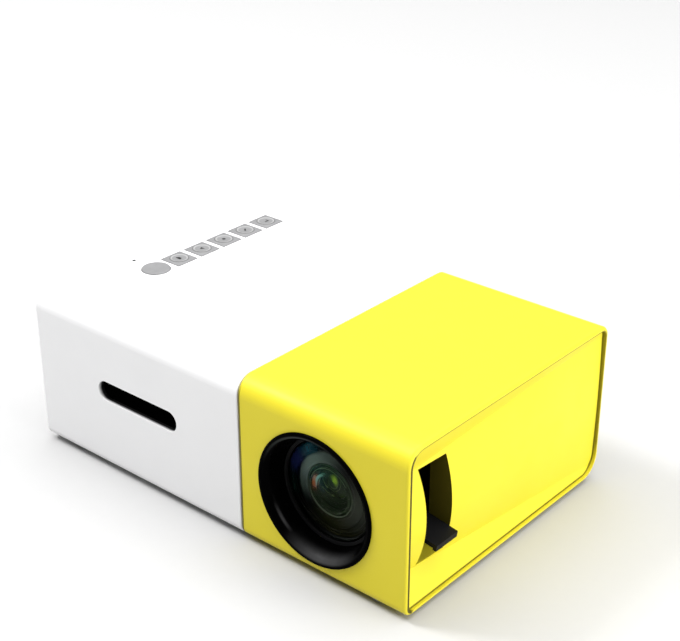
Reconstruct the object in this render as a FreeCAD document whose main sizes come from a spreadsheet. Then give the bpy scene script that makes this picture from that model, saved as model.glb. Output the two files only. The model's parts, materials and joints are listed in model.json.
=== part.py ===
import FreeCAD, Part
import math
import os

import Sketcher

Vector = FreeCAD.Vector
Placement = FreeCAD.Placement
Rotation = FreeCAD.Rotation

doc = FreeCAD.newDocument("HomeProjector")
sheet = doc.addObject("Spreadsheet::Sheet", "Sizes")
sub_parts = []


class Formula:
    # A length that is known as a number and as an expression on the sheet.
    def __init__(self, value, text):
        self.value = value
        self.text = text

    def __float__(self):
        return self.value

    def __add__(self, other):
        return joined(self, "+", other, float(self) + float(other))

    def __radd__(self, other):
        return joined(other, "+", self, float(other) + float(self))

    def __sub__(self, other):
        return joined(self, "-", other, float(self) - float(other))

    def __rsub__(self, other):
        return joined(other, "-", self, float(other) - float(self))

    def __mul__(self, other):
        return joined(self, "*", other, float(self) * float(other))

    def __rmul__(self, other):
        return joined(other, "*", self, float(other) * float(self))

    def __truediv__(self, other):
        return joined(self, "/", other, float(self) / float(other))

    def __neg__(self):
        return joined(0, "-", self, -float(self))


def written(thing):
    return thing.text if isinstance(thing, Formula) else "(%r)" % float(thing)


def joined(left, sign, right, value):
    return Formula(value, "(%s %s %s)" % (written(left), sign, written(right)))


def root(square):
    return Formula(math.sqrt(float(square)), "sqrt(%s)" % written(square))


def size(name, value):
    # Puts one driving dimension on the sheet and gives it back as a formula.
    row = size.rows = size.rows + 1
    sheet.set("A%d" % row, name.replace("_", " "))
    sheet.set("B%d" % row, str(value))
    sheet.setAlias("B%d" % row, name)
    return Formula(float(value), "Sizes." + name)


size.rows = 0

# ---------------------------------------------------------------- driving dimensions
# X runs from the port end to the focus end, Y from the lens front to the back, Z up.
case_length = size("case_length", 130)
case_depth = size("case_depth", 84.2)
case_height = size("case_height", 45.4)
wall = size("wall_thickness", 1.9)
rim_wall = size("rim_wall", 1.2)
rim_round = size("rim_rounding", 0.9)
foot_height = size("foot_height", 1.2)
foot_radius = size("foot_radius", 3.5)
seam_x = size("seam_position", 11.95)
seam_gap = size("seam_gap", 0.3)
reveal = size("end_panel_reveal", 0.4)
end_recess = size("end_panel_recess", 0.7)
edge_break = size("edge_break", 0.35)

front_top_radius = size("front_top_radius", 5.2)
front_base_radius = size("front_base_radius", 2.6)
back_top_radius = size("back_top_radius", 3.4)
back_base_radius = size("back_base_radius", 6.5)
front_top_inner = size("front_top_inner_radius", 3.6)
front_base_inner = size("front_base_inner_radius", 1.8)
back_top_inner = size("back_top_inner_radius", 2.4)
back_base_inner = size("back_base_inner_radius", 5.2)

lens_x = size("lens_position", 36.6)
lens_height = size("lens_height", 20.8)
bezel_radius = size("bezel_radius", 17.9)
bezel_proud = size("bezel_proud", 0.7)
hood_mouth = size("hood_mouth_radius", 15.9)
hood_throat = size("hood_throat_radius", 15)
glass_radius = size("front_glass_radius", 13.6)
barrel_radius = size("barrel_radius", 14.4)
running_gap = size("running_gap", 0.06)
holder_wall = size("lens_holder_wall", 1.25)
ring_wall = size("focus_ring_wall", 1.4)
lever_middle = size("lever_middle", -28.7)
lever_reach = size("lever_reach", 30.2)
lever_width = size("lever_width", 8.2)
lever_thick = size("lever_thickness", 1.2)
lever_drop = size("lever_angle", 9.3)
cam_rise = size("cam_rise_per_degree", 0.08)

bulge_radius = size("end_bulge_radius", 27.6)
focus_gap_front = size("focus_gap_front", -34.1)
focus_gap_back = size("focus_gap_back", -24.2)
focus_gap_low = size("focus_gap_low", 9.4)
focus_gap_high = size("focus_gap_high", 36)

slot_x = size("sound_slot_position", -25.4)
slot_height = size("sound_slot_height", 23.8)
slot_long = size("sound_slot_long", 30)
slot_wide = size("sound_slot_wide", 6)

key_x = size("key_position", -49.6)
key_side = size("key_side", 7.4)
key_pitch = size("key_pitch", 9)
first_key_y = size("first_key_position", -1.9)
power_key_y = size("power_key_position", -10.9)
power_key_radius = size("power_key_radius", 4.1)
key_clearance = size("key_clearance", 0.12)
key_proud = size("key_proud", 0.4)
key_travel = size("key_travel", 0.6)
status_x = size("status_light_position", -58.7)

optic_y = size("light_axis_position", 13.5)
board_thick = size("board_thickness", 1.6)
fan_side = size("fan_side", 30)
fan_deep = size("fan_depth", 10)
tripod_radius = size("tripod_thread_radius", 2.6)
jack_radius = size("jack_bore_radius", 1.8)
jack_depth = size("jack_bore_depth", 11)

# ---------------------------------------------------------------- places that follow
left = -case_length / 2
right = case_length / 2
front = -case_depth / 2
back = case_depth / 2
base = foot_height
top = foot_height + case_height
floor_z = base + wall
ceiling_z = top - wall
inner_front = front + wall
inner_back = back - wall
lens_z = base + lens_height
white_edge = seam_x - seam_gap / 2
yellow_edge = seam_x + seam_gap / 2


# ---------------------------------------------------------------- small helpers
def bind(thing, path, amount):
    if isinstance(amount, Formula):
        thing.setExpression(path, amount.text)
    else:
        thing.setExpression(path, repr(float(amount)))


def place(thing, x=0, y=0, z=0, turn=None):
    thing.Placement = Placement(Vector(float(x), float(y), float(z)), turn or Rotation())
    bind(thing, "Placement.Base.x", x)
    bind(thing, "Placement.Base.y", y)
    bind(thing, "Placement.Base.z", z)
    return thing


def keep(thing, node):
    # Names a finished sub-part, which is exported under this name.
    thing.Label = node
    sub_parts.append(thing)
    return thing


def new_body(node):
    return keep(doc.addObject("PartDesign::Body", node), node)


def open_sketch(body, plane, at=0):
    # A sketch on one of the body's own planes, moved to the place `at` along the third axis.
    sketch = body.newObject("Sketcher::SketchObject", "Sketch")
    support = next(item for item in body.Origin.OriginFeatures if item.Role == plane + "_Plane")
    sketch.AttachmentSupport = [(support, "")]
    sketch.MapMode = "FlatFace"
    offset = 0 - at if plane == "XZ" else 0 + at
    sketch.AttachmentOffset = Placement(Vector(0, 0, float(offset)), Rotation())
    bind(sketch, "AttachmentOffset.Base.z", offset)
    return sketch


def pin_down(sketch, edge, end, x, y):
    for kind, amount in (("DistanceX", x), ("DistanceY", y)):
        constraint = Sketcher.Constraint(kind, -1, 1, edge, end, float(amount))
        number = sketch.addConstraint(constraint)
        bind(sketch, "Constraints[%d]" % number, amount)


def draw_loop(sketch, points):
    # A closed outline. A point is (x, y), or (x, y, (centre x, centre y, turn)) where the
    # edge that leaves it is an arc, and turn is 1 for anticlockwise and -1 for clockwise.
    count = len(points)
    starts = []
    ends = []
    for i, point in enumerate(points):
        here = Vector(float(point[0]), float(point[1]), 0)
        following = points[(i + 1) % count]
        there = Vector(float(following[0]), float(following[1]), 0)
        if len(point) == 2:
            edge = sketch.addGeometry(Part.LineSegment(here, there))
            starts.append((edge, 1))
            ends.append((edge, 2))
            continue
        centre = Vector(float(point[2][0]), float(point[2][1]), 0)
        turn = point[2][2]
        circle = Part.Circle(centre, Vector(0, 0, 1), (here - centre).Length)
        angles = [math.atan2(p.y - centre.y, p.x - centre.x) for p in (here, there)]
        first, last = angles if turn > 0 else reversed(angles)
        edge = sketch.addGeometry(Part.ArcOfCircle(circle, first, last))
        starts.append((edge, 1 if turn > 0 else 2))
        ends.append((edge, 2 if turn > 0 else 1))
        level = abs(here.y - there.y) < 1e-6
        kind, amount = ("DistanceY", point[2][1]) if level else ("DistanceX", point[2][0])
        number = sketch.addConstraint(Sketcher.Constraint(kind, -1, 1, edge, 3, float(amount)))
        bind(sketch, "Constraints[%d]" % number, amount)
    for i, point in enumerate(points):
        before = ends[(i - 1) % count]
        sketch.addConstraint(Sketcher.Constraint("Coincident", *before, *starts[i]))
        pin_down(sketch, *starts[i], point[0], point[1])


def draw_rectangle(sketch, x0, x1, y0, y1, radii=(0, 0, 0, 0)):
    # The radii start at the low-low corner and run anticlockwise.
    corners = [(x0, y0, 1, 1), (x1, y0, -1, 1), (x1, y1, -1, -1), (x0, y1, 1, -1)]
    points = []
    for i, (x, y, inward_x, inward_y) in enumerate(corners):
        radius = radii[i]
        if float(radius) == 0:
            points.append((x, y))
            continue
        centre = (x + radius * inward_x, y + radius * inward_y, 1)
        on_x_side = (x, centre[1])
        on_y_side = (centre[0], y)
        arrives, leaves = (on_x_side, on_y_side) if i in (0, 2) else (on_y_side, on_x_side)
        points.append((*arrives, centre))
        points.append(leaves)
    draw_loop(sketch, points)


def draw_slot(sketch, x, y, length, width):
    # A slot with round ends, lying along the sketch's first axis.
    reach = (length - width) / 2
    half = width / 2
    draw_loop(sketch, [
        (x - reach, y - half),
        (x + reach, y - half, (x + reach, y, 1)),
        (x + reach, y + half),
        (x - reach, y + half, (x - reach, y, 1)),
    ])


def draw_circle(sketch, x, y, radius):
    centre = Vector(float(x), float(y), 0)
    edge = sketch.addGeometry(Part.Circle(centre, Vector(0, 0, 1), float(radius)))
    number = sketch.addConstraint(Sketcher.Constraint("Radius", edge, float(radius)))
    bind(sketch, "Constraints[%d]" % number, radius)
    pin_down(sketch, edge, 3, x, y)


def faces_minus_y(sketch):
    return sketch.AttachmentSupport[0][0].Role.startswith("XZ")


def pad(sketch, length):
    # Grows from the sketch in the positive direction of the third axis.
    feature = sketch.getParentGeoFeatureGroup().newObject("PartDesign::Pad", "Pad")
    feature.Profile = sketch
    bind(feature, "Length", length)
    feature.Reversed = faces_minus_y(sketch)
    return feature


def pocket(sketch, length):
    # Cuts from the sketch in the positive direction of the third axis.
    feature = sketch.getParentGeoFeatureGroup().newObject("PartDesign::Pocket", "Pocket")
    feature.Profile = sketch
    bind(feature, "Length", length)
    feature.Reversed = not faces_minus_y(sketch)
    return feature


def revolve(sketch, axis="V_Axis", kind="Revolution"):
    feature = sketch.getParentGeoFeatureGroup().newObject("PartDesign::" + kind, kind)
    feature.Profile = sketch
    feature.ReferenceAxis = (sketch, [axis])
    feature.Angle = 360
    return feature


def round_edges(body, chosen, radius, kind="Fillet"):
    # Rounds or chamfers the tip's edges that the test `chosen` picks.
    doc.recompute()
    tip = body.Tip
    names = ["Edge%d" % (i + 1) for i, edge in enumerate(tip.Shape.Edges) if chosen(edge)]
    feature = body.newObject("PartDesign::" + kind, kind)
    feature.Base = (tip, names)
    bind(feature, "Radius" if kind == "Fillet" else "Size", radius)
    return feature


def lies_at(axis, place_at, tolerance=1e-4):
    # A test for edges that lie wholly at one place along an axis.
    def chosen(edge):
        box = edge.BoundBox
        low, high = getattr(box, axis + "Min"), getattr(box, axis + "Max")
        return abs(low - float(place_at)) < tolerance and abs(high - float(place_at)) < tolerance
    return chosen


def on_outer_rim(rim):
    # A test for the edges of the case's outer surface at one end of a sleeve.
    def chosen(edge):
        if not lies_at("X", rim)(edge):
            return False
        middle = edge.valueAt((edge.FirstParameter + edge.LastParameter) / 2)
        return near_outside(middle.y, middle.z)
    return chosen


def near_outside(y, z):
    depths = (y - float(front), float(back) - y, z - float(base), float(top) - z)
    return min(depths) < float(rim_wall) / 2


def block(x, y, z, node=None):
    # A plain box between pairs of places, each pair being (low, high).
    thing = doc.addObject("Part::Box", "Block")
    for side, pair in (("Length", x), ("Width", y), ("Height", z)):
        bind(thing, side, pair[1] - pair[0])
    place(thing, x[0], y[0], z[0])
    return keep(thing, node) if node else thing


turns = {
    "x": Rotation(Vector(0, 1, 0), 90),
    "y": Rotation(Vector(1, 0, 0), -90),
    "z": Rotation(),
}


def rod(axis, radius, x, y, z, length, node=None):
    # A cylinder that starts at (x, y, z) and runs in the positive direction of its axis.
    thing = doc.addObject("Part::Cylinder", "Rod")
    bind(thing, "Radius", radius)
    bind(thing, "Height", length)
    place(thing, x, y, z, turns[axis])
    return keep(thing, node) if node else thing


def combine(kind, things, node=None):
    thing = doc.addObject("Part::" + kind, kind)
    if kind == "Cut":
        thing.Base = things[0]
        thing.Tool = things[1] if len(things) == 2 else combine("MultiFuse", things[1:])
    elif kind == "Compound":
        thing.Links = things
    else:
        thing.Shapes = things
    return keep(thing, node) if node else thing


# ---------------------------------------------------------------- outer shells
outer_radii = (front_base_radius, back_base_radius, back_top_radius, front_top_radius)
inner_radii = (front_base_inner, back_base_inner, back_top_inner, front_top_inner)
rim_radii = [radius - rim_wall for radius in outer_radii]


def draw_section(sketch, inset, radii):
    # The case's section across its length, a given inset inside the outer surface.
    draw_rectangle(sketch, front + inset, back - inset, base + inset, top - inset, radii)


# A hollow is how far inside the outer surface it lies and the radii of its corners.
rib_wide = 1.5
rib_high = 1.1
rim_hollow = (rim_wall, rim_radii)
wall_hollow = (wall, inner_radii)
rib_hollow = (wall + rib_high, inner_radii)


def make_sleeve(node, start, end, rib_start, low_hollow, high_hollow):
    # One half of the case: a sleeve with a rib inside that its end panel rests on, and a
    # thinner rim round that panel.
    body = new_body(node)
    outline = open_sketch(body, "YZ", start)
    draw_section(outline, 0, outer_radii)
    pad(outline, end - start)
    for low, high, hollow in (
        (start - 1, rib_start, low_hollow),
        (rib_start - 0.1, rib_start + rib_wide + 0.1, rib_hollow),
        (rib_start + rib_wide, end + 1, high_hollow),
    ):
        sketch = open_sketch(body, "YZ", low)
        draw_section(sketch, *hollow)
        pocket(sketch, high - low)
    return body


port_panel_thick = 2
white_rib = left + end_recess + port_panel_thick
yellow_rib = right - 7.5
white_shell = make_sleeve(
    "white_shell", left, white_edge, white_rib, rim_hollow, wall_hollow,
)
yellow_shell = make_sleeve(
    "yellow_shell", yellow_edge, right, yellow_rib - rib_wide, wall_hollow, rim_hollow,
)

# The sound slot in the front of the white shell.
slot_z = base + slot_height
sketch = open_sketch(white_shell, "XZ", front - 1)
draw_slot(sketch, slot_x, slot_z, slot_long, slot_wide)
pocket(sketch, wall + 2)

# The holes for the keys, the power button and the status light.
key_rows = [first_key_y + key_pitch * i for i in range(5)]
sketch = open_sketch(white_shell, "XY", ceiling_z - 2.6)
half_hole = key_side / 2 + key_clearance
for key_y in key_rows:
    draw_rectangle(sketch, key_x - half_hole, key_x + half_hole, key_y - half_hole, key_y + half_hole)
draw_circle(sketch, key_x, power_key_y, power_key_radius + key_clearance)
draw_circle(sketch, status_x, power_key_y, 0.6)
pocket(sketch, wall + 3)

# Cooling slots: a bank in the back wall and a bank in the underside of the white shell.
vent_count = 9
vent_pitch = 4.2
vent_wide = 1.8
vent_long = 26
back_vent_x = slot_x - 5
vent_places = [back_vent_x + vent_pitch * (i - (vent_count - 1) / 2) for i in range(vent_count)]


def draw_floor_vents(sketch):
    for vent_x in vent_places:
        draw_rectangle(
            sketch, vent_x - vent_wide / 2, vent_x + vent_wide / 2, optic_y - 11, optic_y + 11,
        )


sketch = open_sketch(white_shell, "XZ", inner_back - 1)
for vent_x in vent_places:
    draw_rectangle(
        sketch, vent_x - vent_wide / 2, vent_x + vent_wide / 2,
        lens_z - vent_long / 2, lens_z + vent_long / 2 - 1,
    )
pocket(sketch, wall + 2)
sketch = open_sketch(white_shell, "XY", base - 1)
draw_floor_vents(sketch)
pocket(sketch, wall + 2)

# Posts under the white shell's top carry the key board.
key_board_z = ceiling_z - 5.7
key_posts = [(status_x + 1.8, 4), (status_x + 1.8, 32), (key_x + 6.3, -14.5)]
post_radius = 1.9
post_screw_radius = 0.8
sketch = open_sketch(white_shell, "XY", key_board_z + board_thick)
for post_x, post_y in key_posts:
    draw_circle(sketch, post_x, post_y, post_radius)
pad(sketch, ceiling_z - key_board_z - board_thick + 0.4)
sketch = open_sketch(white_shell, "XY", key_board_z + board_thick - 1)
for post_x, post_y in key_posts:
    draw_circle(sketch, post_x, post_y, post_screw_radius)
pocket(sketch, 4)

# The round hole for the lens hood.
sketch = open_sketch(yellow_shell, "XZ", front - 1)
draw_circle(sketch, lens_x, lens_z, bezel_radius - 0.7)
pocket(sketch, wall + 2)

# Screw holes, the foot recesses and the tripod hole in the underside of the shells.
foot_recess = 0.6
screw_radius = 1.5
screw_head_radius = 2.7
foot_x = right - 11
foot_front_y = front + 5.6
foot_back_y = back - 12
case_screw_y = back - 9.6
white_screws = [(left + 24, front + 8), (left + 25, case_screw_y), (seam_x - 10, front + 8)]
yellow_screws = [(seam_x + 8.1, case_screw_y - 6.4), (foot_x - 4, optic_y - 16.5)]
tripod_x = seam_x - 11
tripod_y = front + 20
for shell, screws, near_x in (
    (white_shell, white_screws, -foot_x), (yellow_shell, yellow_screws, foot_x),
):
    sketch = open_sketch(shell, "XY", base - 1)
    for screw_x, screw_y in screws:
        draw_circle(sketch, screw_x, screw_y, screw_radius + 0.2)
    if shell is white_shell:
        draw_circle(sketch, tripod_x, tripod_y, 4.6)
    pocket(sketch, wall + 2)
    sketch = open_sketch(shell, "XY", base - 1)
    for foot_y in (foot_front_y, foot_back_y):
        draw_circle(sketch, near_x, foot_y, foot_radius + 0.1)
    for screw_x, screw_y in screws:
        draw_circle(sketch, screw_x, screw_y, screw_head_radius + 0.2)
    pocket(sketch, foot_recess + 1)

# The outer edges are barely broken at the seam and well rounded at the two ends.
for shell, seam, end in ((white_shell, white_edge, left), (yellow_shell, yellow_edge, right)):
    round_edges(shell, on_outer_rim(seam), edge_break)
    round_edges(shell, on_outer_rim(end), rim_round)

# ---------------------------------------------------------------- joining collar
collar_wide = size("collar_width", 9)
collar_thick = 1.3
joining_collar = new_body("joining_collar")
sketch = open_sketch(joining_collar, "YZ", seam_x - collar_wide / 2)
draw_section(sketch, wall + 0.05, inner_radii)
pad(sketch, collar_wide)
sketch = open_sketch(joining_collar, "YZ", seam_x - collar_wide / 2 - 1)
draw_section(sketch, wall + collar_thick, (1, 4.2, 1.6, 2.8))
pocket(sketch, collar_wide + 2)

# ---------------------------------------------------------------- port end panel
panel_radii = [radius - reveal for radius in rim_radii]
main_board_z = base + 11.5
socket_z = main_board_z + board_thick
# Sockets stand on the main board; a mouth is the width and height of its opening.
port_face_x = left + end_recess
hdmi = {"node": "hdmi_socket", "y": -20.3, "wide": 15, "high": 6.2, "mouth": (14, 4.6)}
usb = {"node": "usb_socket", "y": 3.2, "wide": 14.4, "high": 7, "mouth": (12.6, 5.2)}
card = {"node": "card_socket", "y": 22.6, "wide": 12.4, "high": 2.4, "mouth": (11.4, 1.2)}
jack_places = {"headphone_jack": -8.4, "av_jack": 33.2}
power_jack_y = -33.2
jack_body = 7
infrared_y = 13.4
panel_gap = 0.25
port_end_panel = new_body("port_end_panel")
sketch = open_sketch(port_end_panel, "YZ", port_face_x)
draw_section(sketch, rim_wall + reveal, panel_radii)
pad(sketch, white_rib - port_face_x)
sketch = open_sketch(port_end_panel, "YZ", port_face_x - 1)
for port in (hdmi, usb, card):
    half_wide = port["wide"] / 2 + panel_gap
    draw_rectangle(
        sketch, port["y"] - half_wide, port["y"] + half_wide,
        socket_z - panel_gap, socket_z + port["high"] + panel_gap,
    )
for jack_y in jack_places.values():
    draw_circle(sketch, jack_y, socket_z + jack_body / 2, 2.9)
draw_circle(sketch, power_jack_y, socket_z + jack_body / 2, 3.9)
draw_circle(sketch, infrared_y, socket_z + 3.5, 1.6)
pocket(sketch, 5)
round_edges(port_end_panel, lies_at("X", port_face_x), 0.25)

# ---------------------------------------------------------------- focus end panel
# A bulge round the focus ring at the front, which flattens out towards the back.
panel_face_x = right - end_recess
gap_low = base + focus_gap_low
gap_high = base + focus_gap_high
panel_low = base + rim_wall + reveal
panel_high = top - rim_wall - reveal
bulge_z = base + case_height / 2
section_ends = (front + 1, back - 1)
back_bulge = 0.3


def draw_bulge(sketch, at_front, depth, rim):
    # The panel's section; depth is how far below the surface, rim how far in from the edge.
    radius = bulge_radius - depth
    low, high = panel_low - 0.2 + rim, panel_high + 0.2 - rim
    if at_front:
        centre_x = lens_x
        low_x = lens_x + root(radius * radius - (bulge_z - gap_low) * (bulge_z - gap_low))
        high_x = lens_x + root(radius * radius - (gap_high - bulge_z) * (gap_high - bulge_z))
        arc_low, arc_high = gap_low, gap_high
    else:
        arc_low, arc_high = panel_low + 1.6 + rim, panel_high - 1.6 - rim
        half = (arc_high - arc_low) / 2
        low_x = panel_face_x - back_bulge - depth
        high_x = low_x
        centre_x = low_x - half * half / (2 * back_bulge) + back_bulge / 2
    centre_z = bulge_z if at_front else (arc_low + arc_high) / 2
    inside_x = yellow_rib - depth * 1.5
    draw_loop(sketch, [
        (inside_x, low),
        (panel_face_x - depth * 2, low),
        (low_x, arc_low, (centre_x, centre_z, 1)),
        (high_x, arc_high),
        (panel_face_x - depth * 2, high),
        (inside_x, high),
    ])


focus_end_panel = new_body("focus_end_panel")
sections = []
for section_y, at_front in zip(section_ends, (True, False)):
    sketch = open_sketch(focus_end_panel, "XZ", section_y)
    draw_bulge(sketch, at_front, 0, 0)
    sections.append(sketch)
loft = focus_end_panel.newObject("PartDesign::AdditiveLoft", "Bulge")
loft.Profile = sections[0]
loft.Sections = sections[1:]
loft.Ruled = True
sketch = open_sketch(focus_end_panel, "YZ", yellow_rib - 1)
draw_rectangle(sketch, front - 1, back + 1, base - 1, top + 1)
draw_section(sketch, rim_wall + reveal, panel_radii)
pocket(sketch, 12)
sections = []
for section_y, at_front in zip((focus_gap_back + 2, back - 4.5), (True, False)):
    sketch = open_sketch(focus_end_panel, "XZ", section_y)
    draw_bulge(sketch, at_front, 2, 3)
    sections.append(sketch)
hollow = focus_end_panel.newObject("PartDesign::SubtractiveLoft", "Hollow")
hollow.Profile = sections[0]
hollow.Sections = sections[1:]
hollow.Ruled = True
sketch = open_sketch(focus_end_panel, "YZ", yellow_rib - 2)
draw_rectangle(sketch, focus_gap_front, focus_gap_back, gap_low, gap_high)
pocket(sketch, 12)

# ---------------------------------------------------------------- lens group
# The lens parts are turned about the Y axis; each body's origin is on the lens axis.


def new_lens_body(node):
    return place(new_body(node), lens_x, 0, lens_z)


def turn_profile(node, points):
    # Turns an outline of (radius, y) points into a round part about the lens axis.
    body = new_lens_body(node)
    sketch = open_sketch(body, "XY")
    draw_loop(sketch, points)
    revolve(sketch)
    return body


def dome(radius, sagitta):
    # Radius of the sphere whose cap has this rim radius and height.
    return (radius * radius + sagitta * sagitta) / (2 * sagitta)


bezel_front = front - bezel_proud
hood_back = front + 5
tube_radius = bezel_radius - 0.85
lip = 0.55
turn_profile("lens_bezel", [
    (hood_mouth + lip, bezel_front),
    (bezel_radius - lip, bezel_front, (bezel_radius - lip, bezel_front + lip, 1)),
    (bezel_radius, bezel_front + lip),
    (bezel_radius, front - 0.02),
    (tube_radius, front - 0.02),
    (tube_radius, hood_back),
    (hood_throat, hood_back),
    (hood_mouth, bezel_front + lip, (hood_mouth + lip, bezel_front + lip, 1)),
])

glass_front = front + 4.3
glass_rise = 1.5
glass_edge = glass_front + glass_rise
barrel_front = glass_edge - 0.5
barrel_back = front + 29
holder_front = front + 7.6
housing_front = optic_y - 23
holder_back = housing_front - 1.6
bore_radius = barrel_radius - 1.6
seat_y = glass_edge + 0.9
lens_barrel = turn_profile("lens_barrel", [
    (glass_radius + 0.02, barrel_front),
    (barrel_radius, barrel_front),
    (barrel_radius, barrel_back),
    (bore_radius - 1.6, barrel_back),
    (bore_radius - 1.6, barrel_back - 2),
    (bore_radius, barrel_back - 2),
    (bore_radius, seat_y),
    (glass_radius + 0.02, seat_y),
])

sphere = dome(glass_radius, glass_rise)
turn_profile("front_glass", [
    (0, glass_front, (0, glass_front + sphere, 1)),
    (glass_radius, glass_edge),
    (glass_radius, seat_y),
    (0, seat_y),
])

baffle_front = seat_y + 0.3
baffle_back = baffle_front + 4.5
inner_glass_radius = size("inner_glass_radius", 6.4)
turn_profile("lens_baffle", [
    (inner_glass_radius + 0.1, baffle_front + 0.5),
    (bore_radius - 0.02, baffle_front),
    (bore_radius - 0.02, baffle_back),
    (inner_glass_radius + 0.1, baffle_back),
])

middle_rise = 0.9
middle_sphere = dome(inner_glass_radius, middle_rise)
middle_front = baffle_front + 0.3
turn_profile("middle_glass", [
    (0, middle_front, (0, middle_front + middle_sphere, 1)),
    (inner_glass_radius, middle_front + middle_rise),
    (inner_glass_radius, middle_front + 3),
    (0, middle_front + 3),
])

rear_seat = barrel_back - 2
rear_rise = 2
rear_radius = bore_radius - 0.3
rear_sphere = dome(rear_radius, rear_rise)
rear_front = rear_seat - 4.5
rear_rim = rear_front + rear_rise
turn_profile("rear_glass", [
    (0, rear_front, (0, rear_front + rear_sphere, 1)),
    (rear_radius, rear_rim),
    (rear_radius, rear_seat),
    (0, rear_seat),
])
spacer_bore = rear_radius - 1.2
turn_profile("glass_spacer", [
    (spacer_bore, baffle_back),
    (rear_radius, baffle_back),
    (rear_radius, rear_rim),
    (spacer_bore, rear_rim - 0.4),
])

holder_bore = barrel_radius + running_gap
holder_radius = holder_bore + holder_wall
flange_half = 19
flange_low = 15.1
flange_high = 17.6
lens_holder = turn_profile("lens_holder", [
    (holder_bore, holder_front),
    (holder_radius, holder_front),
    (holder_radius, holder_back),
    (holder_bore, holder_back),
])
sketch = open_sketch(lens_holder, "XZ", holder_back)
draw_rectangle(sketch, -flange_half, flange_half, -flange_low, flange_high, (2, 2, 2, 2))
draw_circle(sketch, 0, 0, holder_bore)
pad(sketch, housing_front - holder_back)

# A guide pin on top of the barrel runs in a straight slot in the holder and in the
# slanting slot of the focus ring, so that turning the ring slides the barrel.
ring_bore = holder_radius + running_gap
ring_radius = ring_bore + ring_wall
ring_front = lever_middle - 5.6
ring_back = lever_middle + 5.6
pin_radius = 1.1
pin_y = lever_middle
pin_top = ring_radius - 0.2
slot_slack = 0.4
sketch = open_sketch(lens_holder, "XY", barrel_radius - 2)
draw_rectangle(sketch, -pin_radius - slot_slack, pin_radius + slot_slack, pin_y - 5.2, pin_y + 4)
pocket(sketch, holder_wall + 4)
pin_start = bore_radius + 0.4
rod("z", pin_radius, lens_x, pin_y, lens_z + pin_start, pin_top - pin_start, "guide_pin")
sketch = open_sketch(lens_barrel, "XY", pin_start)
draw_circle(sketch, 0, pin_y, pin_radius + 0.02)
pocket(sketch, 3)

lever_turn = Rotation(Vector(0, 1, 0), float(lever_drop))
ring_blank = doc.addObject("PartDesign::Body", "RingBlank")
place(ring_blank, lens_x, 0, lens_z, lever_turn)
sketch = open_sketch(ring_blank, "XZ", ring_front)
draw_circle(sketch, 0, 0, ring_radius)
draw_circle(sketch, 0, 0, ring_bore)
pad(sketch, ring_back - ring_front)
lever_root = ring_radius - 0.6
lever_lip = 0.5
for near, lip_deep in ((lever_root, 0), (lever_reach - 1, lever_lip)):
    sketch = open_sketch(ring_blank, "XZ", lever_middle - lever_width / 2)
    draw_rectangle(sketch, near, lever_reach, -lever_thick / 2 - lip_deep, lever_thick / 2)
    pad(sketch, lever_width)

# The slanting slot is drilled as a row of holes along the pin's path round the ring.
slot_steps = range(-18, 40, 3)
holes = []
for degrees in slot_steps:
    hole_y = pin_y - cam_rise * degrees
    hole = rod("z", pin_radius + slot_slack, lens_x, hole_y, lens_z, 2 * ring_radius)
    hole.Placement = Placement(hole.Placement.Base, Rotation(Vector(0, 1, 0), degrees))
    holes.append(hole)
combine("Cut", [ring_blank, *holes], "focus_ring")

# ---------------------------------------------------------------- keys
flange_thick = 0.8
flange_wide = 0.7
key_drop = 0.5
flange_top = ceiling_z - key_drop
flange_base = flange_top - flange_thick


def make_key(node, y, radius=None):
    # A cap that stands slightly proud of the top, with a flange that holds it in.
    cap_top = top + key_proud
    half = key_side / 2
    ear = half + flange_wide
    waist = half - flange_thick
    body = new_body(node)
    sketch = open_sketch(body, "XY", flange_base)
    if radius:
        draw_circle(sketch, key_x, y, radius + flange_wide - 0.3)
    else:
        draw_rectangle(sketch, key_x - ear, key_x + ear, y - waist, y + waist)
    pad(sketch, flange_top - flange_base)
    sketch = open_sketch(body, "XY", flange_base)
    if radius:
        draw_circle(sketch, key_x, y, radius)
    else:
        draw_rectangle(sketch, key_x - half, key_x + half, y - half, y + half)
    pad(sketch, cap_top - flange_base)
    round_edges(body, lies_at("Z", cap_top), 0.2)
    return body


key_nodes = ["select_key", "back_key", "menu_key", "next_key", "input_key"]
for node, key_y in zip(key_nodes, key_rows):
    make_key(node, key_y)
make_key("power_button", power_key_y, power_key_radius)

# Board with one low switch under each key, held by screws from below.
key_board = new_body("key_board")
sketch = open_sketch(key_board, "XY", key_board_z)
draw_rectangle(sketch, status_x - 2, key_x + 8.2, power_key_y - 7, back - 3.2, (1, 1, 1, 1))
for post_x, post_y in key_posts:
    draw_circle(sketch, post_x, post_y, post_screw_radius + 0.3)
pad(sketch, board_thick)
switch_top = flange_base - key_travel - 0.1
switch_base = key_board_z + board_thick
plunger_high = 0.5
switches = []
for key_y in [power_key_y] + key_rows:
    housing = block(
        (key_x - 2.25, key_x + 2.25), (key_y - 2.25, key_y + 2.25),
        (switch_base, switch_top - plunger_high),
    )
    plunger = rod("z", 1.2, key_x, key_y, switch_top - plunger_high, plunger_high)
    switches.append(combine("MultiFuse", [housing, plunger]))
combine("Compound", switches, "key_switches")
status_light = [
    rod("z", 0.5, status_x, power_key_y, flange_top, wall + 0.45),
    rod("z", 1, status_x, power_key_y, switch_base, flange_top - switch_base),
]
combine("MultiFuse", status_light, "status_light")
post_screws = []
for post_x, post_y in key_posts:
    head = rod("z", 1.5, post_x, post_y, key_board_z - 1, 1)
    shank = rod("z", post_screw_radius - 0.05, post_x, post_y, key_board_z, board_thick + 2.6)
    post_screws.append(combine("MultiFuse", [head, shank]))
combine("Compound", post_screws, "key_board_screws")

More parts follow.
